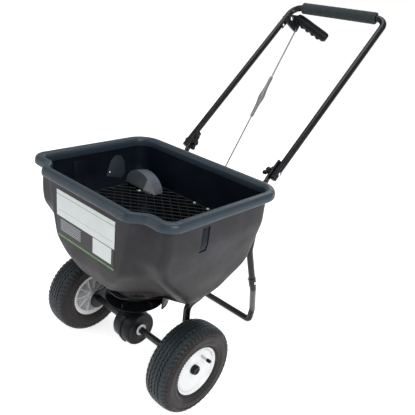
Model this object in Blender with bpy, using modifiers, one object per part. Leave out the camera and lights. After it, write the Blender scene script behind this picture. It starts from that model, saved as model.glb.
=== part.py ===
"""Walk-behind broadcast fertilizer spreader, built as an assembly of separate parts (metres, +Z up).

The sizes are written in an axle frame: X along the axle, Y = 0 at the axle and growing towards the
handle, Z = 0 on the ground. The last step moves everything along Y, so the origin is the centre of the foot
of the bounding box.
"""
import math

import bmesh
import bpy
from mathutils import Matrix, Quaternion, Vector

# General sizes
CLEARANCE = 0.0003
TUBE_RADIUS = 0.0105
TUBE_WALL = 0.0015
TUBE_RESOLUTION = 2
BORE_RESOLUTION = 2
BORE_FLAT = math.cos(math.pi / (2 * BORE_RESOLUTION + 4))
BOLT_RADIUS = 0.003
ROUND = 16
SMALL_ROUND = 8
SCREW_ROUND = 6
PLAN_STEPS = 3
STEP_POINTS = 4

# Wheels and axle
TYRE_RADIUS = 0.127
TYRE_HALF_WIDTH = 0.043
TYRE_WALL = 0.006
RIM_RADIUS = 0.070
RIM_WALL = 0.0035
HUB_RADIUS = 0.017
HALF_TRACK = 0.235
WHEEL_STEPS = 20
VALVE_Y = 0.030
VALVE_Z = 0.026
AXLE_RADIUS = 0.010
AXLE_Z = TYRE_RADIUS

# Hopper: half width, rear, corner-lobe front and bay front of the outer wall by height
WALL_TOP_Z = 0.580
FLOOR_Z = 0.266
WALL = 0.0035
RIM_WIDTH = 0.021
HALF_WIDTH_LINE = ((0.580, 0.265), (0.510, 0.263), (0.360, 0.220), (0.330, 0.210), (0.305, 0.203),
                   (0.280, 0.186))
REAR_LINE = ((0.580, 0.235), (0.378, 0.235), (0.360, 0.216), (0.305, 0.146), (0.280, 0.080))
LOBE_LINE = ((0.580, -0.142), (0.478, -0.148), (0.420, -0.118), (0.360, -0.060), (0.330, -0.026), (0.280, 0.022))
BAY_LINE = ((0.580, -0.172), (0.420, -0.172), (0.378, -0.166), (0.330, -0.142), (0.305, -0.105), (0.280, -0.066))
BAY_HALF_WIDTH_LINE = ((0.580, 0.165), (0.420, 0.130), (0.360, 0.075), (0.280, 0.012))
LOBE_START_LINE = ((0.580, 0.213), (0.420, 0.186), (0.360, 0.160), (0.280, 0.130))
CORNER_LINE = ((0.580, 0.049), (0.378, 0.045), (0.280, 0.028))
LOBE_CORNER_LINE = ((0.580, 0.022), (0.420, 0.025), (0.280, 0.036))
WALL_LEVELS = (0.280, 0.305, 0.330, 0.360, 0.378, 0.420, 0.478, 0.510, 0.580)
FLOOR_HALF_WIDTH = 0.084
FLOOR_HALF_DEPTH = 0.066
THROAT_RADIUS = 0.058
SLOT_Y = -0.0195
SLOT_Z = 0.526
SLOT_WIDTH = 0.026
SLOT_HEIGHT = 0.070

# Screen, baffle and plate inside the hopper
SCREEN_Z = 0.464
SCREEN_THICKNESS = 0.002
SCREEN_MARGIN = 0.0038
MESH_X = 0.080
MESH_Y = 0.066
STRAND = 0.0032
BAFFLE_X = -0.188
BAFFLE_Y = 0.148
BAFFLE_RADIUS = 0.058
BAFFLE_HEIGHT = 0.060
BAFFLE_DEPTH = 0.042
SHEET = 0.0015

# Label on the bay front
LABEL_X = (-0.131, 0.116)
LABEL_Z = (0.425, 0.556)
LABEL_THICKNESS = 0.0005

# Drive: gears, shaft, impeller and shut-off
CROWN_TEETH = 36
PINION_TEETH = 9
PITCH_RADIUS = 0.040
TOOTH_HEIGHT = 0.004
PINION_RADIUS = PITCH_RADIUS * PINION_TEETH / CROWN_TEETH
GEAR_FACE = 0.008
HOUSING_RADIUS = 0.052
HOUSING_HALF_WIDTH = 0.035
HOUSING_WALL = 0.004
NECK_RADIUS = 0.013
NECK_TOP_Z = 0.205
BUSH_RADIUS = 0.017
SHAFT_RADIUS = 0.005
SHAFT_BOTTOM_Z = AXLE_Z + 0.013
SHAFT_TOP_Z = 0.300
IMPELLER_RADIUS = 0.086
IMPELLER_Z = 0.228
IMPELLER_SHEET = 0.0025
VANES = 6
VANE_HEIGHT = 0.018
VANE_PHASE = math.radians(55)
BOTTOM_SHEET = 0.003
BOTTOM_RADIUS = 0.075
GATE_SHEET = 0.002
GATE_TRAVEL = 0.0135
PORT_RADIUS = 0.0068
PORTS = ((-0.030, -0.034), (0.0, -0.044), (0.030, -0.034))
DEFLECTOR_RADIUS = 0.098
DEFLECTOR_SHEET = 0.002
SKIRT_HEIGHT = 0.038
AGITATOR_Z = 0.286
AGITATOR_REACH = 0.034
AGITATOR_RADIUS = 0.002
PIN_RADIUS = 0.002

# Levels under the floor: bottom plate, sliding gate and deflector flange
BOTTOM_TOP = FLOOR_Z - CLEARANCE
GATE_TOP = BOTTOM_TOP - BOTTOM_SHEET - CLEARANCE
DEFLECTOR_TOP = GATE_TOP - GATE_SHEET - CLEARANCE
GATE_HALF_WIDTH = 0.046

# Frame
FRAME_X = 0.160
HANDLE_SLOPE = math.radians(41.8)
ALONG = Vector((0.0, math.cos(HANDLE_SLOPE), math.sin(HANDLE_SLOPE)))
FOLD = Vector((0.0, 0.355, 0.5966))
FRAME_TOP_REACH = 0.038
FRAME_BEND_REACH = 0.0335
SQUASH = 0.5
SQUASH_START = -0.050
SQUASH_LENGTH = 0.016
FRAME_KNEE = Vector((0.0, 0.307, 0.350))
FRAME_FOOT = Vector((0.0, 0.352, 0.209))
FRAME_BEND = 0.035
LEG_JOIN = Vector((0.0, 0.3136, 0.4163))
LEG_PATH = ((0.0, 0.1532, 0.2954), (0.0, 0.100, 0.2675), (0.0, 0.055, 0.2570), (0.0, 0.055, 0.160))
LEG_BEND = 0.024
HANGER_SHEET = 0.005
HANGER_NOSE = 0.031
AXLE_BUSH_RADIUS = 0.012
SLEEVE_LENGTH = 0.035
FOOT_FLAT = 0.0008
STAND_KNEE = Vector((0.115, 0.436, 0.060))
STAND_FLOOR = Vector((0.107, 0.438, TUBE_RADIUS - FOOT_FLAT))
STAND_BEND = 0.014
HOPPER_BOLT = Vector((FRAME_X, 0.1785, 0.3295))

# Handle, lever and control rod
HANDLE_X = FRAME_X + 2 * TUBE_RADIUS + 2 * CLEARANCE
HANDLE_LOW = 0.020
HANDLE_LENGTH = 0.645
HANDLE_BEND = 0.038
HANDLE_TOP = FOLD + ALONG * HANDLE_LENGTH
FOAM_RADIUS = 0.019
FOAM_HALF_LENGTH = 0.142
KNOB_RADIUS = 0.011
KNOB_REACH = 0.020
KNOB_TIP = 0.007
KNOB_THICKNESS = 0.011
KNOB_BOSS = 0.002
KNOB_TURN_RIGHT = math.radians(5)
KNOB_TURN_LEFT = math.radians(63)
PLUG_DEPTH = 0.008
LEVER_ARM = 0.050
LEVER_THICKNESS = 0.010
LEVER_BACK = 0.055
LEVER_PIVOT = FOLD + ALONG * (HANDLE_LENGTH - LEVER_BACK)
LEVER_HOLE = LEVER_PIVOT + Vector((0.0, math.sin(HANDLE_SLOPE), -math.cos(HANDLE_SLOPE))) * LEVER_ARM
BRACKET_SHEET = 0.002
BRACKET_BACK = 0.090
BRACKET_BOLT = FOLD + ALONG * (HANDLE_LENGTH - BRACKET_BACK)
GRIP_START = LEVER_PIVOT + Vector((-0.166, 0.0432, 0.0031))
GRIP_AXIS = Vector((0.78, 0.43, -0.45))
GRIP_UNDER = Vector((-0.28, -0.42, -0.88))
GRIP_LENGTH = 0.130
GRIP_RADIUS = 0.0165
ROD_RADIUS = 0.0022
ROD_X = -0.1545
ROD_LOW = Vector((0.0, 0.150, 0.272))
ROD_HOOK = 0.014
ADJUSTER_RADIUS = 0.0075
ADJUSTER_LENGTH = 0.170
ADJUSTER_PLACE = 0.316
BOLT_HOLE = BOLT_RADIUS + CLEARANCE

COLLECTION = "fertilizer_spreader"


def clear_scene():
    """Removes whatever the start-up file holds."""
    for obj in list(bpy.data.objects):
        bpy.data.objects.remove(obj)


def parts_collection():
    """The collection that every part is linked to."""
    found = bpy.data.collections.get(COLLECTION)
    if found is None:
        found = bpy.data.collections.new(COLLECTION)
        bpy.context.scene.collection.children.link(found)
    return found


def link(name, mesh):
    """Makes a part from a mesh."""
    obj = bpy.data.objects.new(name, mesh)
    parts_collection().objects.link(obj)
    return obj


def face_out(obj):
    """Turns every face of a closed part outwards."""
    bm = bmesh.new()
    bm.from_mesh(obj.data)
    bmesh.ops.recalc_face_normals(bm, faces=bm.faces)
    bm.to_mesh(obj.data)
    bm.free()
    return obj


def from_bmesh(name, bm):
    """Makes a part from a bmesh, which is freed."""
    mesh = bpy.data.meshes.new(name)
    bm.to_mesh(mesh)
    bm.free()
    return face_out(link(name, mesh))


def bake(obj):
    """Applies every modifier of a part."""
    bpy.context.view_layer.update()
    graph = bpy.context.evaluated_depsgraph_get()
    mesh = bpy.data.meshes.new_from_object(obj.evaluated_get(graph))
    obj.modifiers.clear()
    obj.data = mesh
    return obj


def is_closed(mesh):
    """Whether every edge of a mesh has exactly two faces."""
    bm = bmesh.new()
    bm.from_mesh(mesh)
    closed = all(len(edge.link_faces) == 2 for edge in bm.edges)
    bm.free()
    return closed


def boolean(obj, other, operation):
    """Joins two solids or takes the second out of the first, and removes the second."""
    before = obj.data
    for solver in ("EXACT", "MANIFOLD"):
        obj.data = before
        modifier = obj.modifiers.new(operation.lower(), "BOOLEAN")
        modifier.operation = operation
        modifier.solver = solver
        modifier.object = other
        bake(obj)
        if is_closed(obj.data):
            break
    bpy.data.objects.remove(other)
    return obj


def cut(obj, *cutters):
    """Takes solids out of a part."""
    for cutter in cutters:
        boolean(obj, cutter, "DIFFERENCE")
    return obj


def join(obj, *others):
    """Joins solids to a part."""
    for other in others:
        boolean(obj, other, "UNION")
    return obj


AXES = {
    "X": Matrix(((0, 0, 1, 0), (1, 0, 0, 0), (0, 1, 0, 0), (0, 0, 0, 1))),
    "Y": Matrix(((1, 0, 0, 0), (0, 0, -1, 0), (0, 1, 0, 0), (0, 0, 0, 1))),
    "Z": Matrix.Identity(4),
}


def orient(axis, centre):
    """The matrix that lays local Z on a world axis or a direction, at a centre."""
    if not isinstance(axis, str):
        return aim(axis, centre)
    return Matrix.Translation(Vector(centre)) @ AXES[axis]


def aim(direction, centre):
    """The matrix that lays local Z on a direction, at a centre."""
    return Matrix.Translation(Vector(centre)) @ Vector(direction).to_track_quat("Z", "Y").to_matrix().to_4x4()


def cylinder(name, radius, length, centre, axis="Z", sides=ROUND, top_radius=None):
    """A closed cylinder or cone with its middle at a centre."""
    bm = bmesh.new()
    bmesh.ops.create_cone(bm, cap_ends=True, segments=sides, radius1=radius,
                          radius2=radius if top_radius is None else top_radius, depth=length,
                          matrix=orient(axis, centre))
    return from_bmesh(name, bm)


def box(name, size, centre, turn=None, bevel=0.0):
    """A closed box, with its edges broken where a bevel is given."""
    bm = bmesh.new()
    place = Matrix.Translation(Vector(centre))
    if turn is not None:
        place = place @ turn.to_4x4()
    bmesh.ops.create_cube(bm, size=1.0, matrix=place @ Matrix.Diagonal((*size, 1.0)))
    if bevel:
        bmesh.ops.bevel(bm, geom=list(bm.edges), offset=bevel, segments=1, affect="EDGES", clamp_overlap=True)
    return from_bmesh(name, bm)


def lathe(name, profile, steps=ROUND, axis="Z", centre=(0.0, 0.0, 0.0)):
    """Turns a profile of (radius, height) points about an axis; a profile off the axis is a closed loop."""
    count = len(profile)
    on_axis = profile[0][0] == 0.0
    edges = [(i, (i + 1) % count) for i in range(count - 1 if on_axis else count)]
    mesh = bpy.data.meshes.new(name)
    mesh.from_pydata([(radius, 0.0, height) for radius, height in profile], edges, [])
    obj = link(name, mesh)
    screw = obj.modifiers.new("turn", "SCREW")
    screw.steps = steps
    screw.render_steps = steps
    screw.use_merge_vertices = True
    screw.merge_threshold = 0.00001
    bake(obj)
    obj.data.transform(orient(axis, centre))
    return face_out(obj)


def plate(name, outlines, thickness, axis="Z", centre=(0.0, 0.0, 0.0)):
    """A flat plate from an outline and any holes, its middle plane at a centre."""
    curve = bpy.data.curves.new(name, "CURVE")
    curve.dimensions = "2D"
    curve.fill_mode = "BOTH"
    curve.extrude = thickness / 2
    for outline in outlines:
        spline = curve.splines.new("POLY")
        spline.points.add(len(outline) - 1)
        for point, (u, v) in zip(spline.points, outline):
            point.co = (u, v, 0.0, 1.0)
        spline.use_cyclic_u = True
    return curve_solid(name, curve, orient(axis, centre))


def curve_solid(name, curve, place=None):
    """Makes a welded solid part from a filled curve."""
    holder = bpy.data.objects.new(name + "_curve", curve)
    parts_collection().objects.link(holder)
    bpy.context.view_layer.update()
    graph = bpy.context.evaluated_depsgraph_get()
    mesh = bpy.data.meshes.new_from_object(holder.evaluated_get(graph))
    bpy.data.objects.remove(holder)
    bm = bmesh.new()
    bm.from_mesh(mesh)
    bmesh.ops.remove_doubles(bm, verts=bm.verts, dist=0.000005)
    if place is not None:
        bmesh.ops.transform(bm, matrix=place, verts=bm.verts)
    return from_bmesh(name, bm)


def rod(name, path, radius, resolution=TUBE_RESOLUTION):
    """A closed round rod along a path."""
    curve = bpy.data.curves.new(name, "CURVE")
    curve.dimensions = "3D"
    curve.bevel_depth = radius
    curve.bevel_resolution = resolution
    curve.use_fill_caps = True
    spline = curve.splines.new("POLY")
    spline.points.add(len(path) - 1)
    for point, place in zip(spline.points, path):
        point.co = (*place, 1.0)
    return curve_solid(name, curve)


def bend(corners, radius, steps=5):
    """A path through corners, each rounded to an arc."""
    corners = [Vector(corner) for corner in corners]
    path = [corners[0]]
    for before, corner, after in zip(corners, corners[1:], corners[2:]):
        back = (before - corner).normalized()
        onward = (after - corner).normalized()
        half = back.angle(onward) / 2
        reach = radius / math.tan(half)
        centre = corner + (back + onward).normalized() * (radius / math.sin(half))
        start = corner + back * reach - centre
        turn = start.rotation_difference(corner + onward * reach - centre)
        for step in range(steps + 1):
            path.append(centre + Quaternion().slerp(turn, step / steps) @ start)
    path.append(corners[-1])
    return path


def overrun(path, amount):
    """The same path with both ends drawn out, for a bore."""
    path = [Vector(point) for point in path]
    first = path[0] + (path[0] - path[1]).normalized() * amount
    last = path[-1] + (path[-1] - path[-2]).normalized() * amount
    return [first] + path[1:-1] + [last]


def tube(name, path, radius, wall):
    """An open-ended tube along a path."""
    outer = rod(name, path, radius)
    return cut(outer, rod(name + "_bore", overrun(path, wall), radius - wall, BORE_RESOLUTION))


def circle(radius, count=ROUND, u=0.0, v=0.0):
    """Points on a circle."""
    return [(u + radius * math.cos(2 * math.pi * i / count), v + radius * math.sin(2 * math.pi * i / count))
            for i in range(count)]


def arc(radius, start, end, count, u=0.0, v=0.0):
    """Points on an arc, from one angle in degrees to another."""
    angles = [math.radians(start + (end - start) * i / count) for i in range(count + 1)]
    return [(u + radius * math.cos(angle), v + radius * math.sin(angle)) for angle in angles]


def pivot(obj, point):
    """Puts a part's origin on a point of its joint axis."""
    point = Vector(point)
    obj.data.transform(Matrix.Translation(-point))
    obj.location = point
    return obj


def mirrored(obj, name):
    """A copy of a part on the other side of the middle plane."""
    mesh = obj.data.copy()
    mesh.transform(Matrix.Diagonal((-1.0, 1.0, 1.0, 1.0)))
    mesh.flip_normals()
    return link(name, mesh)


def ramp(line, height):
    """Reads a wall line, a list of (height, value), at a height."""
    ordered = sorted(line)
    if height <= ordered[0][0]:
        return ordered[0][1]
    for (low, first), (high, last) in zip(ordered, ordered[1:]):
        if height <= high:
            return first + (last - first) * (height - low) / (high - low)
    return ordered[-1][1]


def plan_half(half_width, rear, lobe, bay, bay_half, lobe_start, corner, lobe_corner):
    """Half of a plan outline, from the middle of the rear to the middle of the bay."""
    points = [(0.0, rear)]
    points += arc(corner, 90, 0, PLAN_STEPS, half_width - corner, rear - corner)
    points += arc(lobe_corner, 0, -90, PLAN_STEPS, half_width - lobe_corner, lobe + lobe_corner)
    for i in range(STEP_POINTS + 1):
        share = i / STEP_POINTS
        rise = (1 - math.cos(math.pi * share)) / 2
        points.append((lobe_start + (bay_half - lobe_start) * share, lobe + (bay - lobe) * rise))
    points.append((0.0, bay))
    return points


def closed_plan(half):
    """The whole outline, from its right half."""
    return half + [(-x, y) for x, y in reversed(half[1:-1])]


def wall_outline(height, offset=0.0):
    """The hopper's outline at a height, moved outwards by an offset."""
    return closed_plan(plan_half(
        ramp(HALF_WIDTH_LINE, height) + offset,
        ramp(REAR_LINE, height) + offset,
        ramp(LOBE_LINE, height) - offset,
        ramp(BAY_LINE, height) - offset,
        ramp(BAY_HALF_WIDTH_LINE, height),
        ramp(LOBE_START_LINE, height),
        ramp(CORNER_LINE, height) + offset,
        ramp(LOBE_CORNER_LINE, height) + offset))


def surface_outline(height, offset=0.0):
    """Where the hopper's flat bands really pass a height, between two wall levels."""
    low = max(level for level in WALL_LEVELS if level <= height)
    high = min(level for level in WALL_LEVELS if level > height)
    share = (height - low) / (high - low)
    pairs = zip(wall_outline(low, offset), wall_outline(high, offset))
    return [tuple(Vector(first).lerp(Vector(second), share)) for first, second in pairs]


def side_reach(height, offset=0.0):
    """Half of the hopper's width at a height."""
    return max(x for x, y in surface_outline(height, offset))


def floor_outline(offset=0.0):
    """The outline of the small flat floor over the outlet."""
    half_width = FLOOR_HALF_WIDTH + offset
    depth = FLOOR_HALF_DEPTH + offset
    return closed_plan(plan_half(half_width, depth, -depth * 0.3, -depth * 0.92, half_width * 0.1, half_width * 0.5,
                                 depth * 0.6, depth * 0.5))


def throat_outline():
    """The outline of the round outlet, point for point with the floor."""
    return [tuple(Vector(point).normalized() * THROAT_RADIUS) for point in floor_outline()]


def hopper():
    """The moulded tub with its rolled rim, as one shell."""
    rings = [(throat_outline(), FLOOR_Z), (floor_outline(), FLOOR_Z)]
    rings += [(wall_outline(z), z) for z in WALL_LEVELS]
    rim = ((0.002, 0.016), (0.006, 0.0205), (0.016, RIM_WIDTH), (0.0225, 0.0155), (0.025, 0.008),
           (0.0235, 0.001), (0.018, -0.0055), (0.004, -0.0055))
    rings += [(wall_outline(WALL_TOP_Z, out), WALL_TOP_Z + up) for up, out in rim]
    rings += [(wall_outline(z, -WALL), z) for z in reversed(WALL_LEVELS[1:])]
    rings += [(wall_outline(WALL_LEVELS[0], -WALL), WALL_LEVELS[0] + WALL)]
    rings += [(floor_outline(-WALL), FLOOR_Z + WALL), (throat_outline(), FLOOR_Z + WALL)]
    bm = bmesh.new()
    rows = [[bm.verts.new((x, y, z)) for x, y in outline] for outline, z in rings]
    for row, following in zip(rows, rows[1:] + rows[:1]):
        for i in range(len(row)):
            after = (i + 1) % len(row)
            bm.faces.new((row[i], row[after], following[after], following[i]))
    obj = from_bmesh("hopper", bm)
    slot = (0.060, SLOT_WIDTH, SLOT_HEIGHT)
    half_width = ramp(HALF_WIDTH_LINE, SLOT_Z)
    for side in (-1, 1):
        cut(obj, box("slot", slot, (side * half_width, SLOT_Y, SLOT_Z)))
    return obj


def clip(polygon, region):
    """Keeps the part of a convex polygon that lies inside a convex region (anticlockwise)."""
    for (x0, y0), (x1, y1) in zip(region, region[1:] + region[:1]):
        kept = []
        for (px, py), (qx, qy) in zip(polygon, polygon[1:] + polygon[:1]):
            p_in = (x1 - x0) * (py - y0) - (y1 - y0) * (px - x0)
            q_in = (x1 - x0) * (qy - y0) - (y1 - y0) * (qx - x0)
            if p_in >= 0:
                kept.append((px, py))
            if (p_in > 0) != (q_in > 0) and p_in != q_in:
                share = p_in / (p_in - q_in)
                kept.append((px + (qx - px) * share, py + (qy - py) * share))
        polygon = kept
        if not polygon:
            return []
    return polygon


def area(polygon):
    """Area of a polygon."""
    pairs = zip(polygon, polygon[1:] + polygon[:1])
    return abs(sum(ax * by - bx * ay for (ax, ay), (bx, by) in pairs)) / 2


def screen_gaps():
    """The diamond gaps of the screen, clipped to its border."""
    margin = WALL + 0.009
    half_width = ramp(HALF_WIDTH_LINE, SCREEN_Z) - margin
    rear = ramp(REAR_LINE, SCREEN_Z) - margin
    lobe = ramp(LOBE_LINE, SCREEN_Z) + margin
    bay = ramp(BAY_LINE, SCREEN_Z) + margin
    bay_half = ramp(BAY_HALF_WIDTH_LINE, SCREEN_Z) - margin
    corner = ramp(CORNER_LINE, SCREEN_Z)
    region = [(bay_half, bay), (half_width, lobe + corner), (half_width, rear - corner), (half_width - corner, rear)]
    region += [(-x, y) for x, y in reversed(region)]
    across = MESH_X / 2
    along = MESH_Y / 2
    inset = 1 - (STRAND / 2) * math.hypot(across, along) / (across * along)
    diamond = [(across * inset, 0.0), (0.0, along * inset), (-across * inset, 0.0), (0.0, -along * inset)]
    gaps = []
    rows = math.ceil(rear / along) + 1
    columns = math.ceil(half_width / MESH_X) + 1
    for row in range(-rows, rows + 1):
        for column in range(-columns, columns + 1):
            x = (column + (row % 2) / 2) * MESH_X
            gap = clip([(x + u, row * along + v) for u, v in diamond], region)
            if len(gap) > 2 and area(gap) > 0.00006:
                gaps.append(gap)
    return gaps


def screen():
    """The flat diamond screen that keeps lumps out."""
    outline = surface_outline(SCREEN_Z, -WALL - SCREEN_MARGIN)
    return plate("screen", [outline] + screen_gaps(), SCREEN_THICKNESS, "Z",
                 (0.0, 0.0, SCREEN_Z + SCREEN_THICKNESS / 2))


def at(side, point):
    """A point of the right side moved to the plane of one side tube."""
    return Vector((side, point[1], point[2]))


def screw(name, centre, axis, head, length, radius=BOLT_RADIUS, head_radius=None):
    """A pan-head screw whose head stands along the axis from a centre and whose shank goes the other way."""
    wide = head_radius or radius * 1.9
    profile = [(0.0, head), (wide * 0.7, head * 0.85), (wide, head * 0.3), (wide, 0.0),
               (radius, 0.0), (radius, -length), (0.0, -length)]
    return lathe(name, profile, SCREW_ROUND, axis, centre)


def baffle():
    """The sheet-metal hood that stands on the screen, and its screw."""
    top = SCREEN_Z + SCREEN_THICKNESS + CLEARANCE
    arch = arc(1.0, 0, 180, 10)
    outer = [(BAFFLE_RADIUS * u, BAFFLE_HEIGHT * v) for u, v in arch]
    inner = [((BAFFLE_RADIUS - SHEET) * u, (BAFFLE_HEIGHT - SHEET) * v) for u, v in reversed(arch)]
    hood = plate("baffle", [outer + inner], BAFFLE_DEPTH, "Y", (BAFFLE_X, BAFFLE_Y + BAFFLE_DEPTH / 2, top))
    front = plate("front", [outer], SHEET, "Y", (BAFFLE_X, BAFFLE_Y + SHEET / 2, top))
    lug = 0.014
    place = Vector((BAFFLE_X + 0.018, BAFFLE_Y - lug / 2, top + SHEET / 2))
    join(hood, front, box("lug", (lug, lug + SHEET, SHEET), place + Vector((0, SHEET / 2, 0))))
    cut(hood, cylinder("hole", BOLT_HOLE, 0.01, place, sides=12))
    screw("baffle_screw", place + Vector((0, 0, SHEET / 2 + CLEARANCE)), "Z", 0.0035, 0.010)


def wall_plate():
    """The plate on the left inner wall, leaning with the wall, and its screw."""
    low, high = 0.480, 0.563
    lean = math.atan2(side_reach(high) - side_reach(low), high - low)
    wall = side_reach(low, -WALL) - 2 * CLEARANCE - SHEET / 2
    outline = [(0.076, 0.021), (0.150, 0.0), (0.148, 0.076), (0.103, 0.083)]
    hole_place = (0.090, 0.030)
    obj = plate("wall_plate", [outline, circle(BOLT_HOLE, 12, *hole_place)], SHEET, "X")
    place = Matrix.Translation((-wall, 0.0, low)) @ Matrix.Rotation(-lean, 4, "Y")
    obj.data.transform(place)
    inward = place.to_3x3() @ Vector((1.0, 0.0, 0.0))
    centre = place @ Vector((SHEET / 2 + CLEARANCE, *hole_place))
    screw("wall_plate_screw", centre, inward, 0.003, SHEET)


def screen_clips():
    """The two screws that hold the screen's rear edge to the rear wall."""
    wall = ramp(REAR_LINE, SCREEN_Z) - WALL - CLEARANCE
    for name, x in (("screen_clip_left", -0.006), ("screen_clip_right", 0.050)):
        clip_part = screw(name, (x, wall - 0.010, SCREEN_Z + SCREEN_THICKNESS + CLEARANCE), "Z", 0.0035, 0.0001)
        join(clip_part, box("tab", (0.010, 0.014, 0.0012), (x, wall - 0.0075, SCREEN_Z + SCREEN_THICKNESS + 0.0010)))


def label():
    """The printed label on the bay front, left without words."""
    front = ramp(BAY_LINE, LABEL_Z[0]) - CLEARANCE - LABEL_THICKNESS / 2
    size = (LABEL_X[1] - LABEL_X[0], LABEL_THICKNESS, LABEL_Z[1] - LABEL_Z[0])
    box("label", size, (sum(LABEL_X) / 2, front, sum(LABEL_Z) / 2))


def bottom_plate():
    """The plate with the three ports that closes the outlet."""
    ports = [circle(PORT_RADIUS, 10, x, y) for x, y in PORTS]
    plate("hopper_bottom", [circle(BOTTOM_RADIUS, 24), circle(SHAFT_RADIUS + CLEARANCE, 16)] + ports, BOTTOM_SHEET,
          "Z", (0.0, 0.0, BOTTOM_TOP - BOTTOM_SHEET / 2))


def gate_plate():
    """The sliding shut-off gate with its tab and the lug that the rod hooks into, drawn shut."""
    half = GATE_HALF_WIDTH
    tab = 0.011
    lug_x = ROD_LOW.x + ROD_HOOK / 2
    outline = [(-half, -0.080), (half, -0.080), (half, 0.046), (tab, 0.062), (tab, ROD_LOW.y + 0.008),
               (-tab, ROD_LOW.y + 0.008), (-tab, 0.062), (-half, 0.046)]
    slot_radius = SHAFT_RADIUS + 2 * CLEARANCE
    slot = arc(slot_radius, 0, 180, 8) + arc(slot_radius, 180, 360, 8, 0.0, -GATE_TRAVEL)
    ports = [circle(PORT_RADIUS, 10, x, y - GATE_TRAVEL) for x, y in PORTS]
    obj = plate("gate_plate", [outline, slot] + ports, GATE_SHEET, "Z", (0.0, 0.0, GATE_TOP - GATE_SHEET / 2))
    lug_low = GATE_TOP - GATE_SHEET / 2
    lug_high = ROD_LOW.z + 0.008
    lug = box("lug", (GATE_SHEET, 0.015, lug_high - lug_low), (lug_x, ROD_LOW.y, (lug_low + lug_high) / 2))
    join(obj, lug)
    cut(obj, cylinder("hole", ROD_RADIUS + 2 * CLEARANCE, 0.02, (lug_x, ROD_LOW.y, ROD_LOW.z), "X", SMALL_ROUND))
    return pivot(obj, (0.0, 0.0, GATE_TOP - GATE_SHEET / 2))


def deflector():
    """The flange that carries the gate's rails, with the curved skirt behind the impeller."""
    outline = arc(DEFLECTOR_RADIUS, 15, 165, 12) + arc(BOTTOM_RADIUS, 190, 350, 6)
    opening = [(-0.040, -0.062), (0.040, -0.062), (0.040, 0.022), (-0.040, 0.022)]
    obj = plate("deflector", [outline, opening], DEFLECTOR_SHEET, "Z",
                (0.0, 0.0, DEFLECTOR_TOP - DEFLECTOR_SHEET / 2))
    skirt = arc(DEFLECTOR_RADIUS, 15, 165, 12) + arc(DEFLECTOR_RADIUS - 0.0025, 165, 15, 12)
    skirt_height = SKIRT_HEIGHT - DEFLECTOR_SHEET / 2
    join(obj, plate("skirt", [skirt], skirt_height, "Z",
                    (0.0, 0.0, DEFLECTOR_TOP - DEFLECTOR_SHEET / 2 - skirt_height / 2)))
    rail_low = DEFLECTOR_TOP - DEFLECTOR_SHEET / 2
    rail_high = BOTTOM_TOP - BOTTOM_SHEET - CLEARANCE
    for side in (-1, 1):
        centre = (side * (GATE_HALF_WIDTH + CLEARANCE + 0.006), 0.0, (rail_low + rail_high) / 2)
        join(obj, box("rail", (0.012, 0.080, rail_high - rail_low), centre))


def impeller():
    """The spinning disc with its vanes and hub."""
    obj = cylinder("impeller", IMPELLER_RADIUS, IMPELLER_SHEET, (0, 0, IMPELLER_Z), sides=32)
    hub = cylinder("hub", 0.014, 0.028, (0, 0, IMPELLER_Z + 0.008), sides=16)
    join(obj, hub)
    length = IMPELLER_RADIUS - 0.014
    for i in range(VANES):
        turn = Matrix.Rotation(VANE_PHASE + 2 * math.pi * i / VANES, 3, "Z")
        middle = turn @ Vector((0.011 + length / 2, 0, 0))
        height = VANE_HEIGHT + IMPELLER_SHEET / 2
        centre = (middle.x, middle.y, IMPELLER_Z + height / 2)
        join(obj, box("vane", (length, 0.0024, height), centre, turn))
    cut(obj, cylinder("bore", SHAFT_RADIUS + CLEARANCE, 0.06, (0, 0, IMPELLER_Z), sides=16))
    return pivot(obj, (0, 0, IMPELLER_Z))


def shaft_and_agitator():
    """The upright shaft and the bent wire through its top."""
    length = SHAFT_TOP_Z - SHAFT_BOTTOM_Z
    shaft = cylinder("impeller_shaft", SHAFT_RADIUS, length, (0, 0, (SHAFT_TOP_Z + SHAFT_BOTTOM_Z) / 2), sides=16)
    cut(shaft, cylinder("hole", AGITATOR_RADIUS + CLEARANCE, 0.02, (0, 0, AGITATOR_Z), "X", SMALL_ROUND))
    pivot(shaft, (0, 0, AGITATOR_Z))
    up = AGITATOR_Z + 0.016
    corners = [(-AGITATOR_REACH, 0, up), (-AGITATOR_REACH, 0, AGITATOR_Z), (AGITATOR_REACH, 0, AGITATOR_Z),
               (AGITATOR_REACH, 0, up)]
    pivot(rod("agitator", bend(corners, 0.006, 3), AGITATOR_RADIUS, 2), (0, 0, AGITATOR_Z))


def pinion():
    """The small gear on the upright shaft."""
    root = PINION_RADIUS - TOOTH_HEIGHT / 2
    tip = PINION_RADIUS + TOOTH_HEIGHT / 2
    outline = []
    for i in range(PINION_TEETH):
        middle = 2 * math.pi * i / PINION_TEETH
        for radius, half in ((root, 0.0014), (tip, 0.0008), (tip, -0.0008), (root, -0.0014)):
            turn = -math.asin(half / radius)
            outline.append((radius * math.cos(middle + turn), radius * math.sin(middle + turn)))
    centre = (0, 0, AXLE_Z + PITCH_RADIUS)
    pivot(plate("pinion", [outline, circle(SHAFT_RADIUS + CLEARANCE, 16)], GEAR_FACE, "Z", centre), centre)


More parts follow.
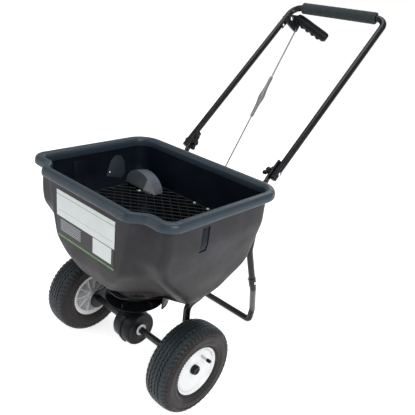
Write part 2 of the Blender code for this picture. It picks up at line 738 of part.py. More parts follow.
def crown_gear():
    """The face gear on the axle, its teeth towards the pinion."""
    face = PINION_RADIUS + TOOTH_HEIGHT / 2 + 0.0006
    back = face + 0.005
    hub_end = HOUSING_HALF_WIDTH - HOUSING_WALL - 0.0015
    bore = AXLE_RADIUS + CLEARANCE
    outer = PITCH_RADIUS + GEAR_FACE / 2 + 0.0015
    profile = [(bore, face), (outer, face), (outer, back), (0.014, back), (0.014, hub_end), (bore, hub_end)]
    obj = lathe("crown_gear", profile, CROWN_TEETH, "X", (0, 0, AXLE_Z))
    bm = bmesh.new()
    for i in range(CROWN_TEETH):
        angle = 2 * math.pi * (i + 0.5) / CROWN_TEETH
        turn = Matrix.Translation((0, 0, AXLE_Z)) @ Matrix.Rotation(angle, 4, "X")
        made = bmesh.ops.create_cube(bm, size=1.0)["verts"]
        for vert in made:
            tip = vert.co.x < 0
            vert.co.x = face - TOOTH_HEIGHT if tip else face + 0.001
            vert.co.y *= 0.0016 if tip else 0.0030
            vert.co.z = PITCH_RADIUS + vert.co.z * GEAR_FACE
        bmesh.ops.transform(bm, matrix=turn, verts=made)
    join(obj, from_bmesh("teeth", bm))
    pin_x = (back + hub_end) / 2
    cut(obj, cylinder("hole", PIN_RADIUS + CLEARANCE, 0.06, (pin_x, 0, AXLE_Z), "Z", SMALL_ROUND))
    pivot(obj, (0, 0, AXLE_Z))
    pivot(cylinder("gear_pin", PIN_RADIUS, 0.030, (pin_x, 0, AXLE_Z), "Z", 12), (0, 0, AXLE_Z))
    return pin_x


def housings():
    """The two halves of the gear housing with the neck round the shaft, and their white bushes."""
    half = HOUSING_HALF_WIDTH
    outer = HOUSING_RADIUS
    seam = outer + 0.002
    profile = [(0.0, -0.002), (seam, -0.002), (seam, 0.003), (outer, 0.003), (outer, half - 0.003),
               (outer - 0.003, half), (0.0, half)]
    right = lathe("housing_right", profile, 24, "X", (0, 0, AXLE_Z))
    neck_low = AXLE_Z + outer - 2 * HOUSING_WALL
    join(right, cylinder("neck", NECK_RADIUS, NECK_TOP_Z - neck_low, (0, 0, (NECK_TOP_Z + neck_low) / 2), sides=16))
    cavity = half - HOUSING_WALL
    cut(right,
        cylinder("cavity", outer - HOUSING_WALL, 2 * cavity, (0, 0, AXLE_Z), "X", 24),
        cylinder("bush_hole", 0.0115 + CLEARANCE, 0.03, (half, 0, AXLE_Z), "X", ROUND),
        cylinder("shaft_hole", SHAFT_RADIUS + CLEARANCE, 0.08, (0, 0, NECK_TOP_Z), "Z", 16),
        box("other_half", (0.1, 0.2, 0.4), (-0.05 + CLEARANCE / 2, 0, AXLE_Z)))
    mirrored(right, "housing_left")
    bore = AXLE_RADIUS + CLEARANCE
    bush = [(bore, cavity), (0.0115, cavity), (0.0115, half + CLEARANCE), (BUSH_RADIUS, half + CLEARANCE),
            (BUSH_RADIUS, half + 0.0025), (bore, half + 0.0025)]
    mirrored(lathe("housing_bush_right", bush, ROUND, "X", (0, 0, AXLE_Z)), "housing_bush_left")


def axle(gear_pin_x):
    """The axle, drilled for the gear pin and the drive pin, and its end caps."""
    end = HALF_TRACK + 0.031
    drive_x = HALF_TRACK - 0.024
    obj = cylinder("axle", AXLE_RADIUS, 2 * end, (0, 0, AXLE_Z), "X", 20)
    for x in (gear_pin_x, drive_x):
        cut(obj, cylinder("hole", PIN_RADIUS + CLEARANCE, 0.03, (x, 0, AXLE_Z), "Z", SMALL_ROUND))
    pivot(obj, (0, 0, AXLE_Z))
    pivot(cylinder("drive_pin", PIN_RADIUS, 2 * HUB_RADIUS - 0.001, (drive_x, 0, AXLE_Z), "Z", 12), (0, 0, AXLE_Z))
    mouth = HALF_TRACK + 0.0203
    inner = AXLE_RADIUS + CLEARANCE
    cap = [(0.0, end + 0.0035), (0.0085, end + 0.0035), (0.0125, end), (0.0135, mouth), (inner, mouth),
           (inner, end + CLEARANCE), (0.0, end + CLEARANCE)]
    right = lathe("hub_cap_right", cap, ROUND, "X", (0, 0, AXLE_Z))
    pivot(mirrored(right, "hub_cap_left"), (0, 0, AXLE_Z))
    pivot(right, (0, 0, AXLE_Z))
    return drive_x


def wheels(drive_x):
    """Rims with inner ribs, tyres and valve stems."""
    out = HALF_TRACK
    seat = RIM_RADIUS - 0.008
    under = seat - RIM_WALL
    bore = AXLE_RADIUS + CLEARANCE
    web_in, web_out = 0.0145, 0.0180
    profile = [(RIM_RADIUS, 0.033), (RIM_RADIUS, 0.0305), (seat, 0.029), (seat, -0.029), (RIM_RADIUS, -0.0305),
               (RIM_RADIUS, -0.033), (under, -0.030), (under, web_in),
               (HUB_RADIUS, web_in), (HUB_RADIUS, -0.030), (bore, -0.030), (bore, 0.020), (HUB_RADIUS, 0.020),
               (0.040, web_out), (under - 0.003, 0.024), (RIM_RADIUS - 0.004, 0.033)]
    rim = lathe("rim_right", profile, WHEEL_STEPS, "X", (out, 0, AXLE_Z))
    for i in range(4):
        turn = Matrix.Rotation(math.pi * (i + 0.5) / 4, 3, "X")
        join(rim, box("rib", (0.036, 2 * under + 0.002, 0.0028), (out - 0.002, 0, AXLE_Z), turn))
    cut(rim, cylinder("bore", bore, 0.09, (out, 0, AXLE_Z), "X", ROUND))
    mirrored_rim = mirrored(rim, "rim_left")
    cut(rim, cylinder("pin_hole", PIN_RADIUS + CLEARANCE, 0.05, (drive_x, 0, AXLE_Z), "Z", SMALL_ROUND))
    place = Vector((0, VALVE_Y, AXLE_Z + VALVE_Z))
    for side, obj in ((1, rim), (-1, mirrored_rim)):
        cut(obj, cylinder("valve_hole", 0.0034, 0.02, place + Vector((side * (out + 0.016), 0, 0)), "X", 12))
        pivot(obj, (side * out, 0, AXLE_Z))
    stem = [(0.0, 0.040), (0.0024, 0.040), (0.0024, 0.032), (0.0030, 0.031), (0.0030, 0.010), (0.0, 0.010)]
    valve = lathe("valve_right", stem, 12, "X", place + Vector((out, 0, 0)))
    pivot(mirrored(valve, "valve_left"), (-out, 0, AXLE_Z))
    pivot(valve, (out, 0, AXLE_Z))
    outer = [(TYRE_RADIUS, 0.017), (0.122, 0.033), (0.103, TYRE_HALF_WIDTH), (RIM_RADIUS + CLEARANCE * 2, 0.0335), (RIM_RADIUS + CLEARANCE, 0.0300), (seat + CLEARANCE, 0.0283)]
    inner = [(seat + CLEARANCE, 0.0210), (0.082, 0.0330), (0.103, TYRE_HALF_WIDTH - TYRE_WALL),
             (TYRE_RADIUS - TYRE_WALL, 0.020)]
    half = outer + inner
    loop = half + [(radius, -x) for radius, x in reversed(half)]
    tyre = lathe("tyre_right", loop, WHEEL_STEPS, "X", (out, 0, AXLE_Z))
    pivot(mirrored(tyre, "tyre_left"), (-out, 0, AXLE_Z))
    pivot(tyre, (out, 0, AXLE_Z))


def frame_paths():
    """Paths of the main tube and of the front leg."""
    main_tube = bend([FOLD + ALONG * FRAME_TOP_REACH, FOLD - ALONG * FRAME_BEND_REACH, FRAME_KNEE, FRAME_FOOT],
                     FRAME_BEND, 2)
    leg = bend([LEG_JOIN, *LEG_PATH], LEG_BEND, 2)
    return [at(FRAME_X, p) for p in main_tube], [at(FRAME_X, p) for p in leg]


def squash(obj):
    """Flattens the top of the right side's tube against the handle's tube."""
    outer = FRAME_X + TUBE_RADIUS
    for vert in obj.data.vertices:
        along = (vert.co - at(vert.co.x, FOLD)).dot(ALONG)
        share = min(max((along - SQUASH_START) / SQUASH_LENGTH, 0.0), 1.0)
        vert.co.x = outer - (outer - vert.co.x) * (1 - SQUASH * share)
    return obj


def side_frames():
    """The welded side frames: main tube, front leg and axle hanger, with the axle bushes."""
    main_tube, leg = frame_paths()
    obj = squash(rod("frame_right", main_tube, TUBE_RADIUS))
    foot = at(FRAME_X, FRAME_FOOT)
    down = (FRAME_FOOT - FRAME_KNEE).normalized()
    sleeve_radius = TUBE_RADIUS + TUBE_WALL + 2 * CLEARANCE
    sleeve_middle = foot - down * (SLEEVE_LENGTH / 2)
    join(obj, rod("leg", leg, TUBE_RADIUS),
         cylinder("sleeve", sleeve_radius, SLEEVE_LENGTH, sleeve_middle, down, 16))
    nose = arc(HANGER_NOSE, 70, 305, 10, 0.0, AXLE_Z)
    outline = nose + [(0.052, 0.128), (0.066, 0.152), (0.066, 0.214), (0.044, 0.214), (0.040, 0.182), (0.030, 0.165)]
    hanger_x = FRAME_X + TUBE_RADIUS - 0.001 + HANGER_SHEET / 2
    join(obj, plate("hanger", [outline], HANGER_SHEET, "X", (hanger_x, 0, 0)))
    bore = TUBE_RADIUS - TUBE_WALL
    cut(obj,
        squash(rod("main_bore", overrun(main_tube, 0.004), bore, BORE_RESOLUTION)),
        rod("leg_bore", [leg[0]] + overrun(leg, 0.004)[1:], bore, BORE_RESOLUTION),
        cylinder("sleeve_bore", TUBE_RADIUS + 2 * CLEARANCE, SLEEVE_LENGTH + 0.004,
                 foot - down * (SLEEVE_LENGTH / 2 - 0.004), down, 16),
        cylinder("bush_hole", AXLE_BUSH_RADIUS + CLEARANCE, 0.02, (hanger_x, 0, AXLE_Z), "X", ROUND),
        cylinder("fold_hole", BOLT_HOLE, 0.04, at(FRAME_X, FOLD), "X", SMALL_ROUND),
        cylinder("stand_hole", BOLT_HOLE, 0.05, stand_bolt_place(), "X", SMALL_ROUND),
        cylinder("hopper_hole", BOLT_HOLE, 0.05, HOPPER_BOLT, hopper_bolt_axis(), SMALL_ROUND))
    mirrored(obj, "frame_left")
    inner = hanger_x - HANGER_SHEET / 2 + CLEARANCE
    outer = hanger_x + HANGER_SHEET / 2 + CLEARANCE
    end = HALF_TRACK - 0.030 - CLEARANCE
    axle_hole = AXLE_RADIUS + CLEARANCE
    profile = [(axle_hole, inner), (AXLE_BUSH_RADIUS, inner), (AXLE_BUSH_RADIUS, outer), (0.0165, outer),
               (0.0165, outer + 0.0025), (AXLE_BUSH_RADIUS, outer + 0.0025), (AXLE_BUSH_RADIUS, end),
               (axle_hole, end)]
    mirrored(lathe("axle_bush_right", profile, ROUND, "X", (0, 0, AXLE_Z)), "axle_bush_left")


def stand_bolt_place():
    """Where the stand is bolted in the foot of the main tube."""
    down = (FRAME_FOOT - FRAME_KNEE).normalized()
    return at(FRAME_X, FRAME_FOOT - down * (SLEEVE_LENGTH / 2))


def hopper_bolt_axis():
    """The direction square to the hopper's rear slope at the bolt, pointing into the hopper."""
    return Vector((0.0, -0.602, 0.799)).normalized()


def hopper_bolts():
    """The bolts that hold the hopper's rear slope to the legs."""
    axis = hopper_bolt_axis()
    head = HOPPER_BOLT + axis * 0.0175
    mirrored(screw("hopper_bolt_right", head, axis, 0.003, 0.034), "hopper_bolt_left")


def stand():
    """The U-shaped stand, with a flat under its cross tube, and its two bolts."""
    down = (FRAME_FOOT - FRAME_KNEE).normalized()
    top = at(FRAME_X, FRAME_FOOT - down * (SLEEVE_LENGTH - 0.002))
    elbow = at(FRAME_X, FRAME_FOOT + down * 0.014)
    right = [top, elbow, STAND_KNEE, STAND_FLOOR]
    corners = right + [Vector((-p.x, p.y, p.z)) for p in reversed(right)]
    obj = tube("stand", bend(corners, STAND_BEND, 3), TUBE_RADIUS, TUBE_WALL)
    cut(obj, box("ground", (0.4, 0.2, 0.02), (0, STAND_FLOOR.y, -0.01)))
    place = stand_bolt_place()
    for side in (-1, 1):
        cut(obj, cylinder("hole", BOLT_HOLE, 0.05, (side * place.x, place.y, place.z), "X", SMALL_ROUND))
    sleeve_radius = TUBE_RADIUS + TUBE_WALL + 3 * CLEARANCE
    head = place + Vector((sleeve_radius, 0, 0))
    mirrored(screw("stand_bolt_right", head, "X", 0.003, 2 * sleeve_radius + 0.004), "stand_bolt_left")


def plug(name, place, direction):
    """A push-in plug in a tube end, its cap outside."""
    inner = (TUBE_RADIUS - TUBE_WALL) * BORE_FLAT - CLEARANCE
    profile = [(0.0, 0.002), (TUBE_RADIUS - 0.002, 0.002), (TUBE_RADIUS, CLEARANCE), (inner, CLEARANCE),
               (inner, -PLUG_DEPTH), (0.0, -PLUG_DEPTH)]
    return lathe(name, profile, 10, direction, place)


def handle():
    """The folding U handle with its foam grip and end plugs."""
    low = FOLD - ALONG * HANDLE_LOW
    corners = [at(-HANDLE_X, low), at(-HANDLE_X, HANDLE_TOP), at(HANDLE_X, HANDLE_TOP), at(HANDLE_X, low)]
    obj = tube("handle", bend(corners, HANDLE_BEND, 5), TUBE_RADIUS, TUBE_WALL)
    for side in (-1, 1):
        cut(obj, cylinder("fold_hole", BOLT_HOLE, 0.04, at(side * HANDLE_X, FOLD), "X", SMALL_ROUND))
    for place in (LEVER_PIVOT, BRACKET_BOLT):
        cut(obj, cylinder("lever_hole", BOLT_HOLE, 0.04, at(-HANDLE_X, place), "X", 12))
    pivot(obj, FOLD)
    inner = TUBE_RADIUS + CLEARANCE
    end = FOAM_HALF_LENGTH
    profile = [(inner, -end), (FOAM_RADIUS - 0.003, -end), (FOAM_RADIUS, -end + 0.003), (FOAM_RADIUS, end - 0.003),
               (FOAM_RADIUS - 0.003, end), (inner, end)]
    pivot(lathe("foam_grip", profile, ROUND, "X", at(0, HANDLE_TOP)), FOLD)
    pivot(plug("handle_plug_right", at(HANDLE_X, low), -ALONG), FOLD)
    pivot(plug("handle_plug_left", at(-HANDLE_X, low), -ALONG), FOLD)
    top = FOLD + ALONG * FRAME_TOP_REACH
    mirrored(squash(plug("frame_plug_right", at(FRAME_X, top), ALONG)), "frame_plug_left")


def knob_outline(turn):
    """A wing knob's outline: a round hub with a tapered wing on each side."""
    hub_angle = 38.0
    half = arc(KNOB_RADIUS, hub_angle, 180 - hub_angle, 4)
    tip = arc(KNOB_TIP, 90, 270, 4, -KNOB_REACH)
    quarter = half + tip
    points = quarter + [(-u, -v) for u, v in quarter]
    return [(u * math.cos(turn) - v * math.sin(turn), u * math.sin(turn) + v * math.cos(turn)) for u, v in points]


def fold_joint():
    """The bolts that the handle folds on, and their wing knobs on the inner side."""
    head = HANDLE_X + TUBE_RADIUS + CLEARANCE
    seat = FRAME_X + TUBE_RADIUS - 2 * TUBE_RADIUS * (1 - SQUASH) - CLEARANCE
    bolt_end = seat - KNOB_BOSS - KNOB_THICKNESS + 0.002
    bolt = screw("fold_bolt_right", at(head, FOLD), "X", 0.0035, head - bolt_end, head_radius=0.0075)
    pivot(mirrored(bolt, "fold_bolt_left"), at(0, FOLD))
    pivot(bolt, at(0, FOLD))
    for name, side, turn in (("knob_right", 1, KNOB_TURN_RIGHT), ("knob_left", -1, KNOB_TURN_LEFT)):
        middle = seat - KNOB_BOSS - KNOB_THICKNESS / 2
        knob = plate(name, [knob_outline(turn)], KNOB_THICKNESS, "X", at(side * middle, FOLD))
        join(knob, cylinder("boss", 0.009, 2 * KNOB_BOSS, at(side * (seat - KNOB_BOSS), FOLD), "X", ROUND))
        cut(knob, cylinder("hole", BOLT_HOLE, 0.02, at(side * (bolt_end - CLEARANCE + 0.01), FOLD), "X", SMALL_ROUND))
        pivot(knob, at(side * FRAME_X, FOLD))


def lever():
    """The control lever with its moulded grip, its bracket plate and bolts."""
    tube_face = -(HANDLE_X - TUBE_RADIUS - CLEARANCE)
    plate_x = tube_face + BRACKET_SHEET / 2
    ends = (LEVER_PIVOT + ALONG * 0.014, BRACKET_BOLT - ALONG * 0.012)
    across = Vector((0.0, -ALONG.z, ALONG.y)) * 0.011
    corners = [ends[0] + across, ends[1] + across, ends[1] - across, ends[0] - across]
    holes = [circle(BOLT_HOLE, 12, p.y, p.z) for p in (LEVER_PIVOT, BRACKET_BOLT)]
    bracket = plate("lever_bracket", [[(p.y, p.z) for p in corners]] + holes, BRACKET_SHEET, "X", (plate_x, 0, 0))
    pivot(bracket, FOLD)
    bolt_head = tube_face + BRACKET_SHEET + CLEARANCE
    outer = -(HANDLE_X + TUBE_RADIUS + CLEARANCE)
    bolt = screw("bracket_bolt", at(outer, BRACKET_BOLT), (-1, 0, 0), 0.003, bolt_head - outer + 0.001)
    pivot(bolt, FOLD)
    body_x = bolt_head + 0.0012 + LEVER_THICKNESS / 2
    body = [(-0.0248, -0.0139), (0.0372, -0.0479), (0.0482, -0.0459), (0.0632, -0.0169), (0.0712, 0.0011),
            (0.0612, 0.0101), (-0.0108, 0.0121), (-0.0228, 0.0051)]
    obj = plate("lever", [body], LEVER_THICKNESS, "X", at(body_x, LEVER_PIVOT))
    axis = GRIP_AXIS.normalized()
    round_end = 0.007
    profile = [(0.0, 0.0), (GRIP_RADIUS * 0.9, 0.0), (GRIP_RADIUS, 0.03), (GRIP_RADIUS, GRIP_LENGTH - round_end),
               (GRIP_RADIUS * 0.7, GRIP_LENGTH - 0.002), (0.0, GRIP_LENGTH)]
    grip = lathe("grip", profile, 16, axis, GRIP_START)
    under = (GRIP_UNDER - axis * GRIP_UNDER.dot(axis)).normalized()
    side = axis.cross(under)
    for i in range(4):
        middle = GRIP_START + axis * (0.042 + 0.022 * i) + under * (GRIP_RADIUS + 0.0055)
        cut(grip, cylinder("groove", 0.0095, 0.06, middle, side, 12))
    face = body_x - LEVER_THICKNESS / 2
    cut(grip, box("face", (0.06, 0.2, 0.2), (face - 0.03, GRIP_START.y, GRIP_START.z)))
    join(obj, grip)
    slot = ROD_RADIUS + 2 * CLEARANCE
    towards = (LEVER_PIVOT - LEVER_HOLE).normalized() * 0.0009
    cut(obj,
        cylinder("rod_hole", slot, 0.04, at(body_x, LEVER_HOLE), "X", 12),
        cylinder("rod_slot", slot, 0.04, at(body_x, LEVER_HOLE + towards), "X", 12),
        cylinder("pivot_hole", BOLT_HOLE, 0.04, at(body_x, LEVER_PIVOT), "X", SMALL_ROUND))
    pivot(obj, at(body_x, LEVER_PIVOT))
    pin = screw("lever_pivot", at(outer, LEVER_PIVOT), (-1, 0, 0), 0.0035, body_x + LEVER_THICKNESS / 2 - outer + 0.003,
                head_radius=0.0065)
    pivot(pin, at(body_x, LEVER_PIVOT))
    return face


def control_rod(lever_face):
    """The rod from the lever to the gate: two hooked wires and the adjuster between them."""
    top = at(ROD_X, LEVER_HOLE)
    onward = ROD_LOW - top
    length = onward.length
    step = onward.normalized()
    middle = top + onward * ADJUSTER_PLACE
    enter = ADJUSTER_LENGTH / 2 - 0.030
    hook = at(lever_face - 0.003, LEVER_HOLE)
    upper = bend([hook, top, middle - step * enter], 0.005, 4)
    pivot(rod("rod_upper", upper, ROD_RADIUS, 2), ROD_LOW)
    lower = bend([middle + step * enter, ROD_LOW, ROD_LOW + Vector((ROD_HOOK, 0, 0))], 0.004, 4)
    pivot(rod("rod_lower", lower, ROD_RADIUS, 2), ROD_LOW)
    half = ADJUSTER_LENGTH / 2
    inner = ROD_RADIUS + CLEARANCE
    thin = 0.0042
    profile = [(inner, -half), (thin, -half), (thin, -half + 0.022), (ADJUSTER_RADIUS, -half + 0.034),
               (ADJUSTER_RADIUS, half - 0.034), (thin, half - 0.022), (thin, half), (inner, half)]
    pivot(lathe("adjuster", profile, 12, step, middle), ROD_LOW)


COLOURS = {
    "hopper": (0.085, 0.095, 0.105),
    "label": (0.80, 0.81, 0.80),
    "rim": (0.86, 0.87, 0.88),
    "bush": (0.82, 0.82, 0.80),
    "tyre": (0.030, 0.032, 0.035),
    "foam": (0.045, 0.050, 0.055),
    "steel": (0.52, 0.53, 0.54),
    "black": (0.022, 0.023, 0.025),
}
KINDS = (("hopper_bolt", "steel"), ("hopper_bottom", "black"), ("hopper", "hopper"), ("label", "label"), ("rim_", "rim"),
         ("housing_bush", "bush"), ("axle_bush", "bush"), ("tyre", "tyre"), ("foam", "foam"), ("rod_", "steel"),
         ("adjuster", "steel"), ("baffle", "steel"), ("wall_plate", "steel"), ("screen_clip", "steel"),
         ("fold_bolt", "steel"), ("stand_bolt", "steel"), ("lever_pivot", "steel"), ("bracket_bolt", "steel"),
         ("crown_gear", "bush"), ("pinion", "bush"), ("impeller_shaft", "steel"), ("agitator", "steel"),
         ("gate_plate", "steel"), ("gear_pin", "steel"), ("drive_pin", "steel"))


def kind_of(name):
    """The material kind of a part by the start of its name."""
    for start, kind in KINDS:
        if name.startswith(start):
            return kind
    return "black"


def paint(obj):
    """Gives a part its own plain material."""
    kind = kind_of(obj.name)
    material = bpy.data.materials.new(obj.name)
    material.use_nodes = True
    shader = material.node_tree.nodes["Principled BSDF"]
    shader.inputs["Base Color"].default_value = (*COLOURS[kind], 1.0)
    shader.inputs["Metallic"].default_value = 1.0 if kind == "steel" else 0.0
    shader.inputs["Roughness"].default_value = 0.35 if kind == "steel" else 0.55
    obj.data.materials.clear()
    obj.data.materials.append(material)


def middle_y(objects):
    """The Y of the middle of the bounding box, from the rim's front to the lever's grip."""
    reach = [obj.location.y + vert.co.y for obj in objects for vert in obj.data.vertices]
    return (min(reach) + max(reach)) / 2


def finish():
    """Centres the assembly over the origin, and shades and paints every part."""
    shift = middle_y(parts_collection().objects)
    for obj in parts_collection().objects:
        obj.location.y -= shift
        paint(obj)
        obj.data.shade_smooth()
        obj.data.set_sharp_from_angle(angle=math.radians(35))


def main():
    """Builds every part in order."""
    clear_scene()
    tub = hopper()
    screen()
    screen_clips()
    baffle()
    wall_plate()
    label()
    bottom_plate()
    gate_plate()
    deflector()
    impeller()
    shaft_and_agitator()
    pinion()
    gear_pin_x = crown_gear()
    housings()
    drive_x = axle(gear_pin_x)
    wheels(drive_x)
    side_frames()
    hopper_bolts()
    for side in (-1, 1):
        place = Vector((side * HOPPER_BOLT.x, HOPPER_BOLT.y, HOPPER_BOLT.z))
        cut(tub, cylinder("bolt_hole", BOLT_HOLE, 0.05, place, hopper_bolt_axis(), 12))
    stand()
    handle()
    fold_joint()
    control_rod(lever())
    finish()


main()
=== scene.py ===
"""The look of a walk-behind fertilizer spreader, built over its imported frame.

Lengths are metres. Pieces are drawn in an axle frame, with Y = 0 at the axle and growing towards the
handle, and settle() moves each one to the frame's own Y.
"""

import math

import bmesh
import bpy
from bpy.props import FloatProperty, FloatVectorProperty, IntProperty, PointerProperty
from mathutils import Matrix, Vector


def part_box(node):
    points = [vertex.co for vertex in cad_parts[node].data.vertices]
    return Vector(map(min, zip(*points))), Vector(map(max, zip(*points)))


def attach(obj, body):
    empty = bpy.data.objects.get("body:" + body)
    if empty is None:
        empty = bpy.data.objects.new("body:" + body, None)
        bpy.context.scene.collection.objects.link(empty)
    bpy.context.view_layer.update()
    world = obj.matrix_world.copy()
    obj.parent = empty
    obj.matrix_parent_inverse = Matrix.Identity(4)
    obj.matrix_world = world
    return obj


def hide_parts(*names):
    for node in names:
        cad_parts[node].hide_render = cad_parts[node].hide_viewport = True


bl_info = {
    "name": "Fertilizer Spreader",
    "version": (1, 0, 0),
    "blender": (4, 5, 0),
    "location": "View3D > Sidebar > Spreader",
    "description": "Builds the visible pieces of a walk-behind fertilizer spreader over its frame",
    "category": "Add Mesh",
}

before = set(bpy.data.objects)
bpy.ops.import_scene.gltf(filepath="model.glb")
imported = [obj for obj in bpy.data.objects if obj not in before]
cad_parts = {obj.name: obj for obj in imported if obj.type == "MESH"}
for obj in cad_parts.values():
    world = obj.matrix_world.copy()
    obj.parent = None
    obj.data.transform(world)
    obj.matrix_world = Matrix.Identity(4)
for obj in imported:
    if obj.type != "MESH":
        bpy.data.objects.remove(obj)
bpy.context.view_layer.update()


def span(node):
    """Lowest and highest corner of a node, in the axle frame."""
    low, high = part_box(node)
    return low - SHIFT, high - SHIFT


def centre_of(node):
    """The middle of a node's box, in the axle frame."""
    low, high = span(node)
    return (low + high) / 2


AXLE = sum(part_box("axle"), Vector()) / 2
SHIFT = Vector((0.0, AXLE.y, 0.0))
AXLE_Z = AXLE.z

# Driving sizes: the frame and the handle
TUBE = 0.0105
COLLAR = TUBE + 0.0018
FRAME_X = 0.160
HANDLE_X = 0.1816
SLOPE = math.radians(41.8)
ALONG = Vector((0.0, math.cos(SLOPE), math.sin(SLOPE)))
FOLD = Vector((0.0, 0.355, 0.5966))
HANDLE_TOP = FOLD + ALONG * 0.645
FRAME_TOP = FOLD + ALONG * 0.038
LEVER_PIVOT = FOLD + ALONG * 0.590
BRACKET_BOLT = FOLD + ALONG * 0.555
KNEE = Vector((0.0, 0.307, 0.350))
FOOT = Vector((0.0, 0.352, 0.209))

# The wheels
HALF_TRACK = 0.235
TYRE_RADIUS = 0.127

# The hopper, its outlet and its screen
WALL = 0.0035
WALL_TOP = 0.580
FLOOR = 0.266
SCREEN_Z = 0.464
PLAN_FOOT = 0.280
OUTLET = 0.058
FLOOR_REACH = (0.085, 0.067)
POCKET_WIDTH = 0.034
POCKET_HEIGHT = 0.079
POCKET_Z = 0.526
POCKET_Y = -0.0195
SLOT_OPENING = (0.080, 0.026, 0.070)

# Shared directions, sides and tolerances
UP = (0, 0, 1)
RIGHT = (1, 0, 0)
BACK = (0, 1, 0)
SIDES = ((1, "right"), (-1, "left"))
MERGE = 0.00001
CREASE = 35.0
SOFT_CREASE = 40.0
FLAT_CREASE = 30.0
TUB_CREASE = 50.0

# Hopper wall lines: (height, distance) of the outer wall
HALF_WIDTH = ((0.580, 0.265), (0.510, 0.263), (0.360, 0.220), (0.330, 0.210), (0.305, 0.203),
              (0.280, 0.186))
REAR = ((0.580, 0.235), (0.378, 0.235), (0.360, 0.216), (0.305, 0.146), (0.280, 0.080))
LOBE = ((0.580, -0.142), (0.478, -0.148), (0.420, -0.118), (0.360, -0.060), (0.330, -0.026), (0.280, 0.022))
BAY = ((0.580, -0.172), (0.420, -0.172), (0.378, -0.166), (0.330, -0.142), (0.305, -0.105), (0.280, -0.066))
BAY_HALF = ((0.580, 0.165), (0.420, 0.130), (0.360, 0.075), (0.280, 0.012))
LOBE_START = ((0.580, 0.213), (0.420, 0.186), (0.360, 0.160), (0.280, 0.130))
CORNER = ((0.580, 0.049), (0.378, 0.045), (0.280, 0.028))
LOBE_CORNER = ((0.580, 0.022), (0.420, 0.025), (0.280, 0.036))


class SpreaderFinish(bpy.types.PropertyGroup):
    """Colours of the spreader's finishes."""

    hopper: FloatVectorProperty(name="Hopper", description="Moulded tub", subtype="COLOR", size=3,
                                default=(0.023, 0.022, 0.025))
    # Rim tone: painted sky reflection, the tub's plastic made bluer and lighter.
    rolled: FloatVectorProperty(name="Hopper rim", description="The tub's smooth rolled rim",
                                subtype="COLOR", size=3, default=(0.024, 0.039, 0.053))
    # Inner tone: painted shade, the tub's plastic made darker inside.
    inside: FloatVectorProperty(name="Hopper inside", description="The tub's inner wall", subtype="COLOR",
                                size=3, default=(0.004, 0.007, 0.013))
    paint: FloatVectorProperty(name="Frame paint", description="Powder coat of the tubes", subtype="COLOR",
                               size=3, default=(0.004, 0.004, 0.005))
    # Tread tone: rubber painted bluish as a sky reflection.
    rubber: FloatVectorProperty(name="Tyre tread", description="Tread rubber", subtype="COLOR", size=3,
                                default=(0.020, 0.029, 0.035))
    sidewall: FloatVectorProperty(name="Tyre sidewalls", description="Sidewall rubber", subtype="COLOR",
                                  size=3, default=(0.019, 0.015, 0.015))
    wheel: FloatVectorProperty(name="Wheel rims", description="Moulded rims", subtype="COLOR", size=3,
                               default=(0.86, 0.87, 0.88))
    foam: FloatVectorProperty(name="Foam grip", description="Closed-cell foam", subtype="COLOR", size=3,
                              default=(0.030, 0.040, 0.042))
    rule: FloatVectorProperty(name="Label rules", description="Lines on the label", subtype="COLOR", size=3,
                              default=(0.16, 0.38, 0.07))


class SpreaderDetail(bpy.types.PropertyGroup):
    """Sizes of the spreader's details."""

    mesh_pitch: FloatProperty(name="Screen pitch", description="Distance between strands",
                              subtype="DISTANCE", unit="LENGTH", default=0.024, min=0.012, max=0.06)
    strand: FloatProperty(name="Screen strand", description="Thickness of a strand", subtype="DISTANCE",
                          unit="LENGTH", default=0.0030, min=0.001, max=0.006)
    groove: FloatProperty(name="Tread depth", description="Depth of the tyre's grooves", subtype="DISTANCE",
                          unit="LENGTH", default=0.0032, min=0.0, max=0.006)
    blocks: IntProperty(name="Tread blocks", description="Blocks round each shoulder", default=56, min=12,
                        max=90)
    steps: IntProperty(name="Round steps", description="Facets round a tube", default=28, min=12, max=64)


def finish():
    """The colours in use."""
    return bpy.context.scene.spreader_finish


def detail():
    """The sizes in use."""
    return bpy.context.scene.spreader_detail


def socket_noise(tree, place, scale, depth):
    """A noise on object coordinates."""
    noise = tree.nodes.new("ShaderNodeTexNoise")
    noise.inputs["Scale"].default_value = scale
    noise.inputs["Detail"].default_value = depth
    tree.links.new(place, noise.inputs["Vector"])
    return noise.outputs["Fac"]


def spread(tree, value, low, high, start=0.35, end=0.65):
    """A value taken from one range to another."""
    part = tree.nodes.new("ShaderNodeMapRange")
    part.inputs["From Min"].default_value = start
    part.inputs["From Max"].default_value = end
    part.inputs["To Min"].default_value = low
    part.inputs["To Max"].default_value = high
    tree.links.new(value, part.inputs["Value"])
    return part.outputs["Result"]


def feed(tree, socket, value):
    """Gives a node's input a value, or links another node's output to it."""
    if isinstance(value, bpy.types.NodeSocket):
        tree.links.new(value, socket)
    else:
        socket.default_value = value


def blend_tones(tree, share, first, second):
    """Two colours mixed by a value."""
    mix = tree.nodes.new("ShaderNodeMix")
    mix.data_type = "RGBA"
    for socket, tone in ((mix.inputs[6], first), (mix.inputs[7], second)):
        feed(tree, socket, tone if isinstance(tone, bpy.types.NodeSocket) else (*tone, 1.0))
    tree.links.new(share, mix.inputs[0])
    return mix.outputs[2]


def combined(tree, operation, first, second):
    """Two values joined by arithmetic."""
    node = tree.nodes.new("ShaderNodeMath")
    node.operation = operation
    feed(tree, node.inputs[0], first)
    feed(tree, node.inputs[1], second)
    return node.outputs[0]


# Heights over which the painted floor reflection fades out.
FLOOR_REFLECTION_SPAN = (0.27, 0.44)
COAT_ROUGHNESS = 0.18


